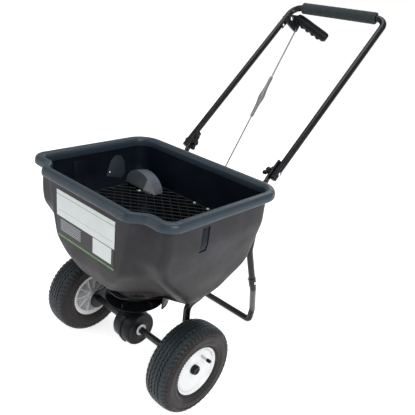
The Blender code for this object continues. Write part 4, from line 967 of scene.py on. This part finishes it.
def tyre():
    """A pneumatic tyre with zigzag grooves, shoulder blocks and a ribbed sidewall."""
    depth, blocks = detail().groove, detail().blocks
    steps = blocks * 4
    zigzag, shoulder_cut, ticks = 0.0013, 0.0028, 40
    half = [(x, crown(x) - (depth if groove else 0.0)) for x, groove in tread_half()]
    side = softened([(0.0320, crown(0.0320)), (0.0385, 0.1185), (0.0425, 0.1080), (0.0430, 0.0960),
                     (0.0415, 0.0850), (0.0365, 0.0760), (0.0335, 0.0724)])
    right = half + side[1:] + [(0.0318, 0.0716), (0.0290, 0.0655), (0.0, 0.0650)]
    full = [(-x, radius) for x, radius in reversed(right)][1:-1] + right[:-1]
    bm = bmesh.new()
    verts = [bm.verts.new((radius, 0.0, along)) for along, radius in full]
    edges = [bm.edges.new(pair) for pair in zip(verts, verts[1:] + verts[:1])]
    bmesh.ops.spin(bm, geom=verts + edges, cent=(0, 0, 0), axis=UP, angle=2 * math.pi, steps=steps,
                   use_merge=True, use_duplicate=False)
    bmesh.ops.remove_doubles(bm, verts=bm.verts, dist=MERGE)
    for vert in bm.verts:
        radius = math.hypot(vert.co.x, vert.co.y)
        phase = (math.atan2(vert.co.y, vert.co.x) / (2 * math.pi) * blocks) % 1.0
        reach = abs(vert.co.z)
        if radius > 0.115 and 0.002 < reach < 0.0225:
            vert.co.z += zigzag * (1 if phase < 0.5 else -1)
        if 0.0262 < reach < 0.0392 and phase > 0.52:
            shrink = 1 - shoulder_cut / radius
            vert.co.x *= shrink
            vert.co.y *= shrink
    bmesh.ops.transform(bm, matrix=lay(RIGHT), verts=bm.verts)
    for radius, wide in ((0.0885, 0.0424), (0.1075, 0.0430)):
        ring = [(wide - 0.0008, radius - 0.0010), (wide + 0.0005, radius - 0.0004),
                (wide + 0.0005, radius + 0.0004), (wide - 0.0008, radius + 0.0010)]
        for end in (-1, 1):
            turned([(end * x, height) for x, height in ring + ring[:1]], steps=steps // 2, bm=bm)
    for i in range(ticks):
        turn = Matrix.Rotation(2 * math.pi * i / ticks, 4, "X")
        for end in (-1, 1):
            spot = turn @ Matrix.Translation((end * 0.0402, 0, 0.1130))
            brick(bm, (0.0012, 0.0011, 0.0065), spot @ Matrix.Rotation(end * 0.35, 4, "Y"))
    # Sidewall faces take the browner tone; the rest keeps the tread's painted sky reflection.
    for face in bm.faces:
        middle = face.calc_center_median()
        if abs(middle.x) > 0.0300 and math.hypot(middle.y, middle.z) < 0.1195:
            face.material_index = 1
    return bm


RIM_OUTER = ((0.0334, 0.0714), (0.0345, 0.0690), (0.0335, 0.0672), (0.0290, 0.0640), (0.0245, 0.0590),
             (0.0215, 0.0500), (0.0190, 0.0400), (0.0180, 0.0290), (0.0186, 0.0215), (0.0200, 0.0175),
             (0.0200, 0.0106))
RIM_INNER = ((-0.0330, 0.0106), (-0.0330, 0.0170), (0.0130, 0.0175), (0.0138, 0.0575), (-0.0300, 0.0590),
             (-0.0335, 0.0640), (-0.0340, 0.0690), (-0.0334, 0.0714), (-0.0310, 0.0708), (-0.0285, 0.0640),
             (0.0285, 0.0640), (0.0310, 0.0708))
VALVE_PLACE = (0.0, 0.030, 0.026)


def rim():
    """A moulded rim: a smooth dish outside, and a ribbed well inside."""
    ribs = 10
    loop = softened(RIM_OUTER) + list(RIM_INNER)
    bm = turned(loop + loop[:1], steps=72)
    for i in range(ribs):
        turn = Matrix.Rotation(2 * math.pi * (i + 0.5) / ribs, 4, "X")
        brick(bm, (0.040, 0.0030, 0.0430), turn @ Matrix.Translation((-0.006, 0, 0.0375)))
    bmesh.ops.remove_doubles(bm, verts=bm.verts, dist=MERGE)
    return bm


def valve():
    """A valve stem and its cap."""
    stem = turned([(0.010, 0.0), (0.010, 0.0050), (0.020, 0.0046), (0.022, 0.0034), (0.041, 0.0034),
                   (0.041, 0.0)])
    cap = [(0.0390, 0.0), (0.0390, 0.0046), (0.0400, 0.0050), (0.0500, 0.0048), (0.0515, 0.0038),
           (0.0515, 0.0)]
    turned(cap, steps=24, bm=stem)
    for face in stem.faces:
        face.material_index = 1 if face.calc_center_median().x > 0.0385 else 0
    return stem


class SPREADER_OT_wheels(bpy.types.Operator):
    """Builds both wheels."""

    bl_idname = "spreader.wheels"
    bl_label = "Wheels"

    def execute(self, context):
        for (side, word), body in zip(SIDES, ("axle_set", "free_wheel")):
            spot = Matrix.Translation((side * HALF_TRACK, 0, AXLE_Z)) @ Matrix.Diagonal((side, 1, 1, 1))
            for name, bm, kinds, node, place, slot in (
                    ("tread", tyre(), ("tyre_rubber", "sidewall_rubber"), "tyre_", (0, 0, 0), None),
                    ("dish", rim(), "white_plastic", "rim_", (0, 0, 0), None),
                    ("stem", valve(), ("zinc", "black_plastic"), "valve_", VALVE_PLACE, "valve_rubber")):
                bmesh.ops.transform(bm, matrix=spot @ Matrix.Translation(place), verts=bm.verts)
                settle(f"{name}_{word}", bm, node + word, kinds, body)
        return {"FINISHED"}


def axle_caps(side):
    """A wheel's black end cap and the axle's dimpled end."""
    mouth = HALF_TRACK + 0.0203
    end = HALF_TRACK + 0.0343
    section = [(mouth, 0.0104), (mouth, 0.0136), (mouth + 0.008, 0.0130), (end - 0.001, 0.0120),
               (end, 0.0085), (end - 0.0015, 0.0050), (end - 0.0040, 0.0040), (end - 0.0042, 0.0)]
    bm = turned([(mouth, 0.0)] + softened(section, 1), steps=36)
    for i in range(4):
        turn = Matrix.Rotation(math.pi * i / 2 + 0.4, 4, "X")
        spot = turn @ Matrix.Translation((mouth + 0.006, 0, 0.0130))
        brick(bm, (0.008, 0.003, 0.002), spot)
    bmesh.ops.transform(bm, matrix=Matrix.Translation((0, 0, AXLE_Z)) @ Matrix.Diagonal((side, 1, 1, 1)),
                        verts=bm.verts)
    return bm


class SPREADER_OT_axle(bpy.types.Operator):
    """Builds the axle, its pins, caps and bushes."""

    bl_idname = "spreader.axle"
    bl_label = "Axle"

    def execute(self, context):
        end, radius, chamfer = HALF_TRACK + 0.031, 0.010, 0.001
        spot = (0, 0, AXLE_Z)
        bar = turned([(-end, 0.0), (-end, radius - chamfer), (chamfer - end, radius),
                      (end - chamfer, radius), (end, radius - chamfer), (end, 0.0)], place=spot, steps=40)
        settle("axle_bar", bar, "axle", "dark_steel", "axle_set", CREASE)
        pin = turned([(-0.0160, 0.0), (-0.0160, 0.0020), (0.0160, 0.0020), (0.0160, 0.0)], UP,
                     (HALF_TRACK - 0.024, 0, AXLE_Z), 20)
        settle("wheel_pin", pin, "drive_pin", "zinc", "axle_set", CREASE)
        face, wheel_side, bore = FRAME_X + TUBE + 0.0043, HALF_TRACK - 0.0304, 0.0104
        for side, word in SIDES:
            cap = axle_caps(side)
            settle("end_cap_" + word, cap, "hub_cap_" + word, "black_plastic", "axle_set", CREASE)
            flange = softened([(face, bore), (face, 0.0165), (face + 0.0026, 0.0165),
                               (face + 0.0030, 0.0122), (wheel_side, 0.0120), (wheel_side, bore)], 1)
            bush = turned(flange + flange[:1], place=spot, steps=40)
            bush = bush if side > 0 else flipped(bush)
            settle("axle_sleeve_" + word, bush, "axle_bush_" + word, "nylon", smooth=CREASE)
        return {"FINISHED"}


def gear_case(side):
    """One half of the round gear case, with its seam flange, stepped face and neck."""
    section = [(0.0002, 0.0), (0.0002, 0.0540), (0.0032, 0.0540), (0.0036, 0.0515), (0.0080, 0.0512),
               (0.0300, 0.0505), (0.0345, 0.0480), (0.0352, 0.0440), (0.0345, 0.0400), (0.0345, 0.0215),
               (0.0352, 0.0200), (0.0352, 0.0)]
    bm = turned(section, steps=72)
    if side < 0:
        flipped(bm)
    bmesh.ops.translate(bm, vec=(0, 0, AXLE_Z), verts=bm.verts)
    neck = [(0.165, 0.0), (0.165, 0.0150), (0.185, 0.0130), (0.205, 0.0126), (0.205, 0.0)]
    turned(neck, UP, steps=36, bm=bm)
    kept = (side * 0.0002, 0, 0)
    bmesh.ops.bisect_plane(bm, geom=everything(bm), plane_co=kept, plane_no=(side, 0, 0), clear_inner=True)
    bmesh.ops.holes_fill(bm, edges=bm.edges, sides=0)
    for angle in (40, 140, 220, 320):
        turn = Matrix.Rotation(math.radians(angle), 4, "X")
        spot = Matrix.Translation((0, 0, AXLE_Z)) @ turn @ Matrix.Translation((side * 0.004, 0, 0.0515))
        bmesh.ops.create_cone(bm, cap_ends=True, segments=18, radius1=0.0045, radius2=0.0045, depth=0.0076,
                              matrix=spot @ Matrix.Rotation(math.pi / 2, 4, "Y"))
    return bm


def spinner():
    """The impeller: a dished disc, upright vanes and a hub."""
    disc = softened([(0.2265, 0.0), (0.2265, 0.080), (0.2270, 0.086), (0.2300, 0.086), (0.2293, 0.078),
                     (0.2293, 0.016), (0.2440, 0.0135), (0.2440, 0.0)], 1)
    bm = turned(disc, UP, steps=80)
    vanes, first_vane = 6, 55
    for i in range(vanes):
        turn = Matrix.Rotation(math.radians(first_vane + 360 / vanes * i), 4, "Z")
        block((0.071, 0.0026, 0.018), turn @ Vector((0.0475, 0, 0.2380)), turn, 0.0006, bm)
    return turned([(0.2440, 0.0), (0.2440, 0.0085), (0.2490, 0.0080), (0.2500, 0.0)], UP, steps=30, bm=bm)


def shroud():
    """The deflector: a flange with rails, and the curved skirt behind the impeller."""
    top = span("deflector")[1].z
    outer, start, end, wall = 0.0975, 12, 168, 0.003
    front = arc(outer, start, end, 44)
    back = arc(outer - wall, end, start, 44)
    bm = slab(front + arc(0.075, 192, 348, 24), 0.0026, UP, (0, 0, top - 0.0042), 0.0008)
    slab(front + back, 0.036, UP, (0, 0, top - 0.0225), 0.0008, bm)
    slab(arc(outer + 0.0012, start, end, 44) + back, 0.003, UP, (0, 0, top - 0.0395), 0.0008, bm)
    for side in (-1, 1):
        block((0.012, 0.080, 0.0040), (side * 0.0523, 0, top - 0.0020), edge=0.0008, bm=bm)
    return bm


def gate_sheet():
    """The sliding gate: a sheet with round front corners, a tab to the rear and the rod's lug."""
    low, high = span("gate_plate")
    half, round_off, tab = 0.046, 0.034, 0.011
    outline = arc(round_off, 270, 360, 10, half - round_off, low.y + round_off)
    outline += [(half, 0.056), (half - 0.006, 0.062), (tab, 0.062), (tab, high.y)]
    outline += [(-x, y) for x, y in reversed(outline)]
    bm = slab(outline, 0.0020, UP, (0, 0, low.z + 0.0010), 0.0003)
    lug = [(high.y - 0.016, low.z), (high.y, low.z), (high.y, high.z - 0.004), (high.y - 0.004, high.z),
           (high.y - 0.012, high.z), (high.y - 0.016, high.z - 0.004)]
    return slab(lug, 0.0020, place=(0.007, 0, 0), edge=0.0003, bm=bm)


class SPREADER_OT_drive(bpy.types.Operator):
    """Builds the gear case, the impeller and the shroud."""

    bl_idname = "spreader.drive"
    bl_label = "Drive"

    def execute(self, context):
        ring = [(0.0340, 0.0104), (0.0375, 0.0104), (0.0375, 0.0160), (0.0368, 0.0170), (0.0340, 0.0170)]
        for side, word in SIDES:
            settle("case_" + word, gear_case(side), "housing_" + word, "black_plastic")
            bm = turned(ring + ring[:1], place=(0, 0, AXLE_Z), steps=44)
            bm = bm if side > 0 else flipped(bm)
            settle("case_bush_" + word, bm, "housing_bush_" + word, "nylon")
        settle("spinner", spinner(), "impeller", "black_plastic", "impeller_set")
        settle("shroud", shroud(), "deflector", "black_plastic")
        # The gate sheet takes the axle's blackened steel as painted shade, for the shadow under the hopper.
        settle("gate_sheet", gate_sheet(), "gate_plate", "dark_steel", "gate")
        shaft = [(0.140, 0.0), (0.140, 0.005), (0.2990, 0.005), (0.300, 0.004), (0.300, 0.0)]
        settle("shaft", turned(shaft, UP, steps=28), "impeller_shaft", "zinc", "impeller_set")
        wire = [(-0.034, 0, 0.302), (-0.034, 0, 0.286), (0.034, 0, 0.286), (0.034, 0, 0.302)]
        settle("stirrer", pipe(wire, 0.002, 0.006), "agitator", "zinc", "impeller_set")
        return {"FINISHED"}


def flattened(bm, start=-0.050, length=0.016):
    """Presses the top of the right main tube flat against the handle's tube."""
    outer = FRAME_X + TUBE
    for vert in bm.verts:
        along = (vert.co - at(vert.co.x, FOLD)).dot(ALONG)
        share = min(max((along - start) / length, 0.0), 1.0)
        share = share * share * (3 - 2 * share)
        vert.co.x = outer - (outer - vert.co.x) * (1 - 0.5 * share)
    return bm


def side_frame():
    """The right side frame: main tube, leg, sleeve and axle hanger, welded."""
    bm = pipe([at(FRAME_X, point) for point in (FRAME_TOP, FOLD - ALONG * 0.0335, KNEE, FOOT)], TUBE, 0.035)
    inserts = [edge for edge in bm.edges
               if abs((edge.verts[0].co - edge.verts[1].co).normalized().dot(ALONG)) > 0.99]
    bmesh.ops.subdivide_edges(bm, edges=inserts, cuts=6)
    flattened(bm)
    join = Vector((0, 0.3136, 0.4163))
    path = ((0.1532, 0.2954), (0.100, 0.2675), (0.055, 0.2570), (0.055, 0.160))
    pipe([at(FRAME_X, join)] + [(FRAME_X, y, z) for y, z in path], TUBE, 0.024, bm)
    ring = softened([(0.0, TUBE), (0.0, COLLAR), (0.035, COLLAR), (0.035, TUBE)], 1)
    turned(ring + ring[:1], (KNEE - FOOT).normalized(), at(FRAME_X, FOOT), 32, bm)
    weld = [(-0.004, TUBE), (-0.002, COLLAR), (0.002, COLLAR), (0.004, TUBE)]
    heading = (Vector((0, *path[0])) - join).normalized()
    turned(softened(weld + weld[:1], 1), heading, at(FRAME_X, join + heading * 0.0145), 32, bm)
    outline = arc(0.031, 70, 305, 30, 0.0, AXLE_Z)
    outline += [(0.052, 0.128), (0.066, 0.152), (0.066, 0.214), (0.044, 0.214), (0.040, 0.182),
                (0.030, 0.165)]
    return slab(outline, 0.005, place=(FRAME_X + TUBE + 0.0015, 0, 0), edge=0.0012, bm=bm)


class SPREADER_OT_frame(bpy.types.Operator):
    """Builds the side frames, the stand and their bolts."""

    bl_idname = "spreader.frame"
    bl_label = "Frame and stand"

    def execute(self, context):
        for side, word in SIDES:
            bm = side_frame() if side > 0 else flipped(side_frame())
            settle("side_" + word, bm, "frame_" + word, "frame_paint")
            low, high = span("stand_bolt_" + word)
            middle = (low + high) / 2
            reach = high.x if side > 0 else low.x
            bm = bolt((reach - side * 0.0036, middle.y, middle.z), (side, 0, 0), 0.0060, 0.0034, 0.031)
            settle("stand_pin_" + word, bm, "stand_bolt_" + word, "zinc")
            plug = turned([(0.0, 0.0), (0.0, 0.0103), (0.0012, 0.0103), (0.0022, 0.0085), (0.0024, 0.0)],
                          ALONG, at(FRAME_X, FRAME_TOP))
            flattened(plug)
            plug = plug if side > 0 else flipped(plug)
            settle("frame_end_" + word, plug, "frame_plug_" + word, "black_plastic")
        down = (FOOT - KNEE).normalized()
        right = [at(FRAME_X, FOOT - down * 0.033), at(FRAME_X, FOOT + down * 0.014),
                 Vector((0.115, 0.436, 0.060)), Vector((0.107, 0.438, TUBE - 0.0002))]
        corners = right + [at(-point.x, point) for point in reversed(right)]
        settle("stand_loop", pipe(corners, TUBE, 0.014), "stand", "frame_paint")
        return {"FINISHED"}


def grip_tube():
    """The foam sleeve with shallow rings and soft lips at its ends."""
    end, bore, skin, ring, lip, rings = span("foam_grip")[1].x, 0.0108, 0.0190, 0.0003, 0.006, 24
    long = 2 * (end - lip)
    section = [(-end, bore), (-end, 0.0165), (-end + 0.002, 0.0186), (lip - end, skin)]
    section += [(lip - end + long * i / rings, skin - ring * (i % 2)) for i in range(1, rings)]
    section += [(end - lip, skin), (end - 0.002, 0.0186), (end, 0.0165), (end, bore), (-end, bore)]
    return turned(section, place=HANDLE_TOP)


class SPREADER_OT_handle(bpy.types.Operator):
    """Builds the handle, its foam grip, plugs and hinge bolts."""

    bl_idname = "spreader.handle"
    bl_label = "Handle"

    def execute(self, context):
        low = FOLD - ALONG * 0.020
        corners = [at(-HANDLE_X, low), at(-HANDLE_X, HANDLE_TOP), at(HANDLE_X, HANDLE_TOP),
                   at(HANDLE_X, low)]
        settle("push_bar", pipe(corners, TUBE, 0.038, bends=18), "handle", "frame_paint", "handle_set")
        grip = settle("hand_foam", grip_tube(), "foam_grip", "foam", "handle_set", SOFT_CREASE)
        for side, word in SIDES:
            plug = turned([(0.0, 0.0), (0.0, 0.0107), (0.0014, 0.0107), (0.0026, 0.0088), (0.0028, 0.0)],
                          -ALONG, at(side * HANDLE_X, low))
            settle("bar_end_" + word, plug, "handle_plug_" + word, "black_plastic", "handle_set")
            face = HANDLE_X + TUBE + 0.0002
            bm = bolt(at(side * face, FOLD), (side, 0, 0), 0.0074, 0.0040, 0.045)
            settle("hinge_bolt_" + word, bm, "fold_bolt_" + word, "zinc", "handle_set")
        return {"FINISHED"}


def wing_knob(turn):
    """A wing knob, its wings turned by an angle."""
    bm = bmesh.new()
    reach = 0.0195
    for place, low, high, deep, steps in ((0.0, 0.0110, 0.0095, 0.0130, 32),
                                          (-reach, 0.0068, 0.0060, 0.0100, 24),
                                          (reach, 0.0068, 0.0060, 0.0100, 24)):
        bmesh.ops.create_cone(bm, cap_ends=True, segments=steps, radius1=low, radius2=high, depth=deep,
                              matrix=Matrix.Translation((place, 0, 0)))
        if place:
            arm = Matrix.Translation((math.copysign(0.010, place), 0, 0))
            brick(bm, (0.020, 0.0100, 0.0092), arm)
    bmesh.ops.transform(bm, matrix=PLANES[RIGHT] @ Matrix.Rotation(turn, 4, "Z"), verts=bm.verts)
    return bm


class SPREADER_OT_knobs(bpy.types.Operator):
    """Builds the two wing knobs."""

    bl_idname = "spreader.knobs"
    bl_label = "Knobs"

    def execute(self, context):
        for word, turn in (("right", math.radians(5)), ("left", math.radians(63))):
            bm = wing_knob(turn)
            bmesh.ops.translate(bm, vec=at(centre_of("knob_" + word).x, FOLD), verts=bm.verts)
            knob = settle("wing_" + word, bm, "knob_" + word, "black_plastic", word + "_knob", repair=False)
            fuse(knob, voxel=0.0007, rounds=8)
        return {"FINISHED"}


CHEEK = 0.010


def lever_body():
    """The lever's cheek plate and its moulded finger grip."""
    side = span("lever")[0].x
    cheek = softened([(0.770, 0.976), (0.832, 0.942), (0.843, 0.944), (0.858, 0.973), (0.866, 0.991),
                      (0.856, 1.000), (0.784, 1.002), (0.772, 0.995), (0.770, 0.977)], 1)
    bm = slab(cheek, CHEEK, place=(side + CHEEK / 2, 0, 0), edge=0.0015)
    start, axis = Vector((-0.166, 0.838, 0.993)), Vector((0.78, 0.43, -0.45)).normalized()
    under = Vector((-0.28, -0.42, -0.88))
    under = (under - axis * under.dot(axis)).normalized()
    section = softened([(0.0, 0.0), (0.0, 0.0170), (0.030, 0.0190), (0.065, 0.0178), (0.100, 0.0178),
                        (0.126, 0.0172), (0.133, 0.0110), (0.133, 0.0)])
    turned(section, axis, start, 36, bm)
    swells = [(0.036 + 0.022 * i, 0.0128, 0.0098) for i in range(4)] + [(0.119, 0.006, 0.0125)]
    for along, drop, radius in swells:
        bmesh.ops.create_icosphere(bm, subdivisions=3, radius=radius,
                                   matrix=Matrix.Translation(start + axis * along + under * drop))
    for vert in bm.verts:
        vert.co.x = max(vert.co.x, side)
    return bm


class SPREADER_OT_lever(bpy.types.Operator):
    """Builds the gate lever, its bracket and bolts."""

    bl_idname = "spreader.lever"
    bl_label = "Gate lever"

    def execute(self, context):
        lever = settle("gate_lever", lever_body(), "lever", "black_plastic", "lever_set", repair=False)
        fuse(lever, voxel=0.0012, rounds=5)
        low, high = span("lever_bracket")
        top, foot = FOLD + ALONG * 0.604, FOLD + ALONG * 0.543
        across = Vector((0, -ALONG.z, ALONG.y)) * 0.0085
        outline = [(p.y, p.z) for p in (top + across, foot + across, foot - across, top - across)]
        bm = slab(outline, 0.0020, place=((low.x + high.x) / 2, 0, 0), edge=0.0008)
        settle("lever_tab", bm, "lever_bracket", "frame_paint", "handle_set")
        far = -HANDLE_X - TUBE
        bm = bolt(at(span("lever")[0].x + CHEEK + 0.0002, LEVER_PIVOT), RIGHT, 0.0070, 0.0040, 0.038)
        bolt(at(far, LEVER_PIVOT), (-1, 0, 0), 0.0062, 0.0034, bm=bm)
        settle("lever_axis", bm, "lever_pivot", "zinc", "lever_set")
        bm = bolt(at(high.x, BRACKET_BOLT), RIGHT, 0.0055, 0.0026, 0.024)
        bolt(at(far, BRACKET_BOLT), (-1, 0, 0), 0.0055, 0.0030, bm=bm)
        settle("tab_bolt", bm, "bracket_bolt", "zinc", "handle_set")
        return {"FINISHED"}


def turnbuckle(step, middle):
    """The adjuster: a spindle with flattened sleeves, swelling at its middle."""
    half = 0.085
    right = [(0.010, 0.0096), (0.026, 0.0072), (0.044, 0.0060), (half - 0.003, 0.0060), (half, 0.0056),
             (half, 0.0)]
    section = [(-along, radius) for along, radius in reversed(right)] + [(0.0, 0.0102)] + right
    bm = turned(softened(section), step, middle, 36)
    for end in (-1, 1):
        turned([(-0.003, 0.0), (-0.003, 0.0066), (0.003, 0.0066), (0.003, 0.0)], step,
               middle + step * end * (half - 0.008), 6, bm)
    return bm


class SPREADER_OT_rod(bpy.types.Operator):
    """Builds the control rod and its adjuster."""

    bl_idname = "spreader.rod"
    bl_label = "Control rod"

    def execute(self, context):
        thick = 0.0024
        hole = LEVER_PIVOT + Vector((0, ALONG.z, -ALONG.y)) * 0.050
        top, low = at(-0.1545, hole), Vector((0.0, 0.150, 0.272))
        onward = low - top
        step = onward.normalized()
        middle = top + onward * 0.316
        upper = [at(span("rod_upper")[0].x, hole), top, middle - step * 0.055]
        lower = [middle + step * 0.055, low, low + Vector((0.014, 0, 0))]
        for name, bm, node in (("rod_top", pipe(upper, thick, 0.005), "rod_upper"),
                               ("rod_foot", pipe(lower, thick, 0.004), "rod_lower"),
                               ("turnbuckle", turnbuckle(step, middle), "adjuster")):
            settle(name, bm, node, "drawn_steel", "control_rod")
        return {"FINISHED"}


CAD_FINISH = {"hopper_bottom": "black_plastic", "pinion": "nylon", "crown_gear": "nylon",
              "gear_pin": "zinc", "hopper_bolt_left": "zinc", "hopper_bolt_right": "zinc"}


class SPREADER_OT_kept(bpy.types.Operator):
    """Gives the kept CAD pieces their finishes."""

    bl_idname = "spreader.kept"
    bl_label = "Kept pieces"

    def execute(self, context):
        for node, kind in CAD_FINISH.items():
            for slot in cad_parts[node].material_slots:
                slot.material = material(kind)
        return {"FINISHED"}


CAMERA_PLACE = Vector((1.01218, -0.87700, 1.10008))
CAMERA_RIGHT = Vector((0.71853, 0.68823, 0.10024))
CAMERA_UP = Vector((-0.34109, 0.22311, 0.91317))
LENS = 46.59
SENSOR = 36.0
FLOOR_SIZE = 30.0
LAMP_AIM = Vector((0.0, -0.15, 0.45))
FLOOR_GLOW = 0.68
SKY_LIGHT = 0.42


def camera():
    """The camera at the photograph's angle."""
    data = bpy.data.cameras.new("view")
    data.lens = LENS
    data.sensor_width = SENSOR
    obj = linked("view", data)
    back = CAMERA_RIGHT.cross(CAMERA_UP).normalized()
    up = back.cross(CAMERA_RIGHT).normalized()
    turn = Matrix((CAMERA_RIGHT.normalized(), up, back)).transposed().to_4x4()
    obj.matrix_world = Matrix.Translation(CAMERA_PLACE + SHIFT) @ turn
    bpy.context.scene.camera = obj


def lamp(name, place, size, power, tone=(1.0, 1.0, 1.0)):
    """A soft square lamp that faces the hopper."""
    data = bpy.data.lights.new(name, "AREA")
    data.size = size
    data.energy = power
    data.color = tone
    turn = (LAMP_AIM - Vector(place)).to_track_quat("-Z", "Y").to_matrix().to_4x4()
    linked(name, data).matrix_world = Matrix.Translation(place) @ turn


def floor():
    """A pale floor that keeps a soft shadow, lit a little where the camera or a gloss sees it."""
    bm = bmesh.new()
    bmesh.ops.create_grid(bm, x_segments=1, y_segments=1, size=FLOOR_SIZE)
    obj = linked("floor", mesh_from("floor", bm))
    paper = bpy.data.materials.new("floor")
    paper.use_nodes = True
    tree = paper.node_tree
    shader = tree.nodes["Principled BSDF"]
    for word, value in (("Base Color", (0.86, 0.86, 0.86, 1.0)), ("Roughness", 0.9),
                        ("Specular IOR Level", 0.1)):
        shader.inputs[word].default_value = value
    ray = tree.nodes.new("ShaderNodeLightPath").outputs
    glow = tree.nodes.new("ShaderNodeEmission")
    seen = combined(tree, "MAXIMUM", ray["Is Camera Ray"], ray["Is Glossy Ray"])
    feed(tree, glow.inputs["Strength"], combined(tree, "MULTIPLY", seen, FLOOR_GLOW))
    both = tree.nodes.new("ShaderNodeAddShader")
    feed(tree, both.inputs[0], shader.outputs[0])
    feed(tree, both.inputs[1], glow.outputs[0])
    feed(tree, tree.nodes["Material Output"].inputs["Surface"], both.outputs[0])
    obj.data.materials.append(paper)


def sky():
    """A white surround for the camera and through glass, and a soft light for the rest."""
    world = bpy.data.worlds.new("surround")
    world.use_nodes = True
    bpy.context.scene.world = world
    tree = world.node_tree
    ground = tree.nodes["Background"]
    ground.inputs["Color"].default_value = (1.0, 1.0, 1.0, 1.0)
    ray = tree.nodes.new("ShaderNodeLightPath").outputs
    seen = combined(tree, "MAXIMUM", ray["Is Camera Ray"], ray["Is Transmission Ray"])
    feed(tree, ground.inputs["Strength"], spread(tree, seen, SKY_LIGHT, 1.0, 0.0, 1.0))


class SPREADER_OT_stage(bpy.types.Operator):
    """Sets the camera, the lamps, the floor and the surround."""

    bl_idname = "spreader.stage"
    bl_label = "Stage"

    def execute(self, context):
        context.scene.view_settings.view_transform = "Standard"
        camera()
        floor()
        sky()
        lamp("key", (2.5, -1.0, 1.9), 1.5, 54.0)
        lamp("fill", (-1.4, -2.4, 1.6), 1.8, 16.0, (0.93, 0.97, 1.0))
        lamp("top", (-0.3, 0.2, 3.0), 1.6, 26.0, (0.90, 0.95, 1.0))
        lamp("rear", (-0.9, 2.6, 1.9), 1.6, 20.0, (0.93, 0.96, 1.0))
        return {"FINISHED"}


class SPREADER_PT_panel(bpy.types.Panel):
    """Lists the spreader's settings and steps."""

    bl_idname = "SPREADER_PT_panel"
    bl_label = "Spreader"
    bl_space_type = "VIEW_3D"
    bl_region_type = "UI"
    bl_category = "Spreader"

    def draw(self, context):
        """Draws the panel."""
        for group in (context.scene.spreader_finish, context.scene.spreader_detail):
            for word in group.__annotations__:
                self.layout.prop(group, word)
        for step in STEPS:
            self.layout.operator(step.bl_idname)


STEPS = (SPREADER_OT_stage, SPREADER_OT_hopper, SPREADER_OT_fittings, SPREADER_OT_label, SPREADER_OT_wheels,
         SPREADER_OT_axle, SPREADER_OT_drive, SPREADER_OT_frame, SPREADER_OT_handle, SPREADER_OT_knobs,
         SPREADER_OT_lever, SPREADER_OT_rod, SPREADER_OT_kept)
GROUPS = (SpreaderFinish, SpreaderDetail)


def register():
    """Adds the classes and the scene's settings."""
    for part in GROUPS + STEPS + (SPREADER_PT_panel,):
        bpy.utils.register_class(part)
    bpy.types.Scene.spreader_finish = PointerProperty(type=SpreaderFinish)
    bpy.types.Scene.spreader_detail = PointerProperty(type=SpreaderDetail)


def unregister():
    """Takes them away again."""
    del bpy.types.Scene.spreader_detail
    del bpy.types.Scene.spreader_finish
    for part in reversed(GROUPS + STEPS + (SPREADER_PT_panel,)):
        bpy.utils.unregister_class(part)


def main():
    """Builds the whole spreader."""
    register()
    bpy.ops.spreader.stage()
    bpy.ops.spreader.hopper()
    bpy.ops.spreader.fittings()
    bpy.ops.spreader.label()
    bpy.ops.spreader.wheels()
    bpy.ops.spreader.axle()
    bpy.ops.spreader.drive()
    bpy.ops.spreader.frame()
    bpy.ops.spreader.handle()
    bpy.ops.spreader.knobs()
    bpy.ops.spreader.lever()
    bpy.ops.spreader.rod()
    bpy.ops.spreader.kept()
    bpy.context.view_layer.update()


if __name__ == "__main__":
    main()
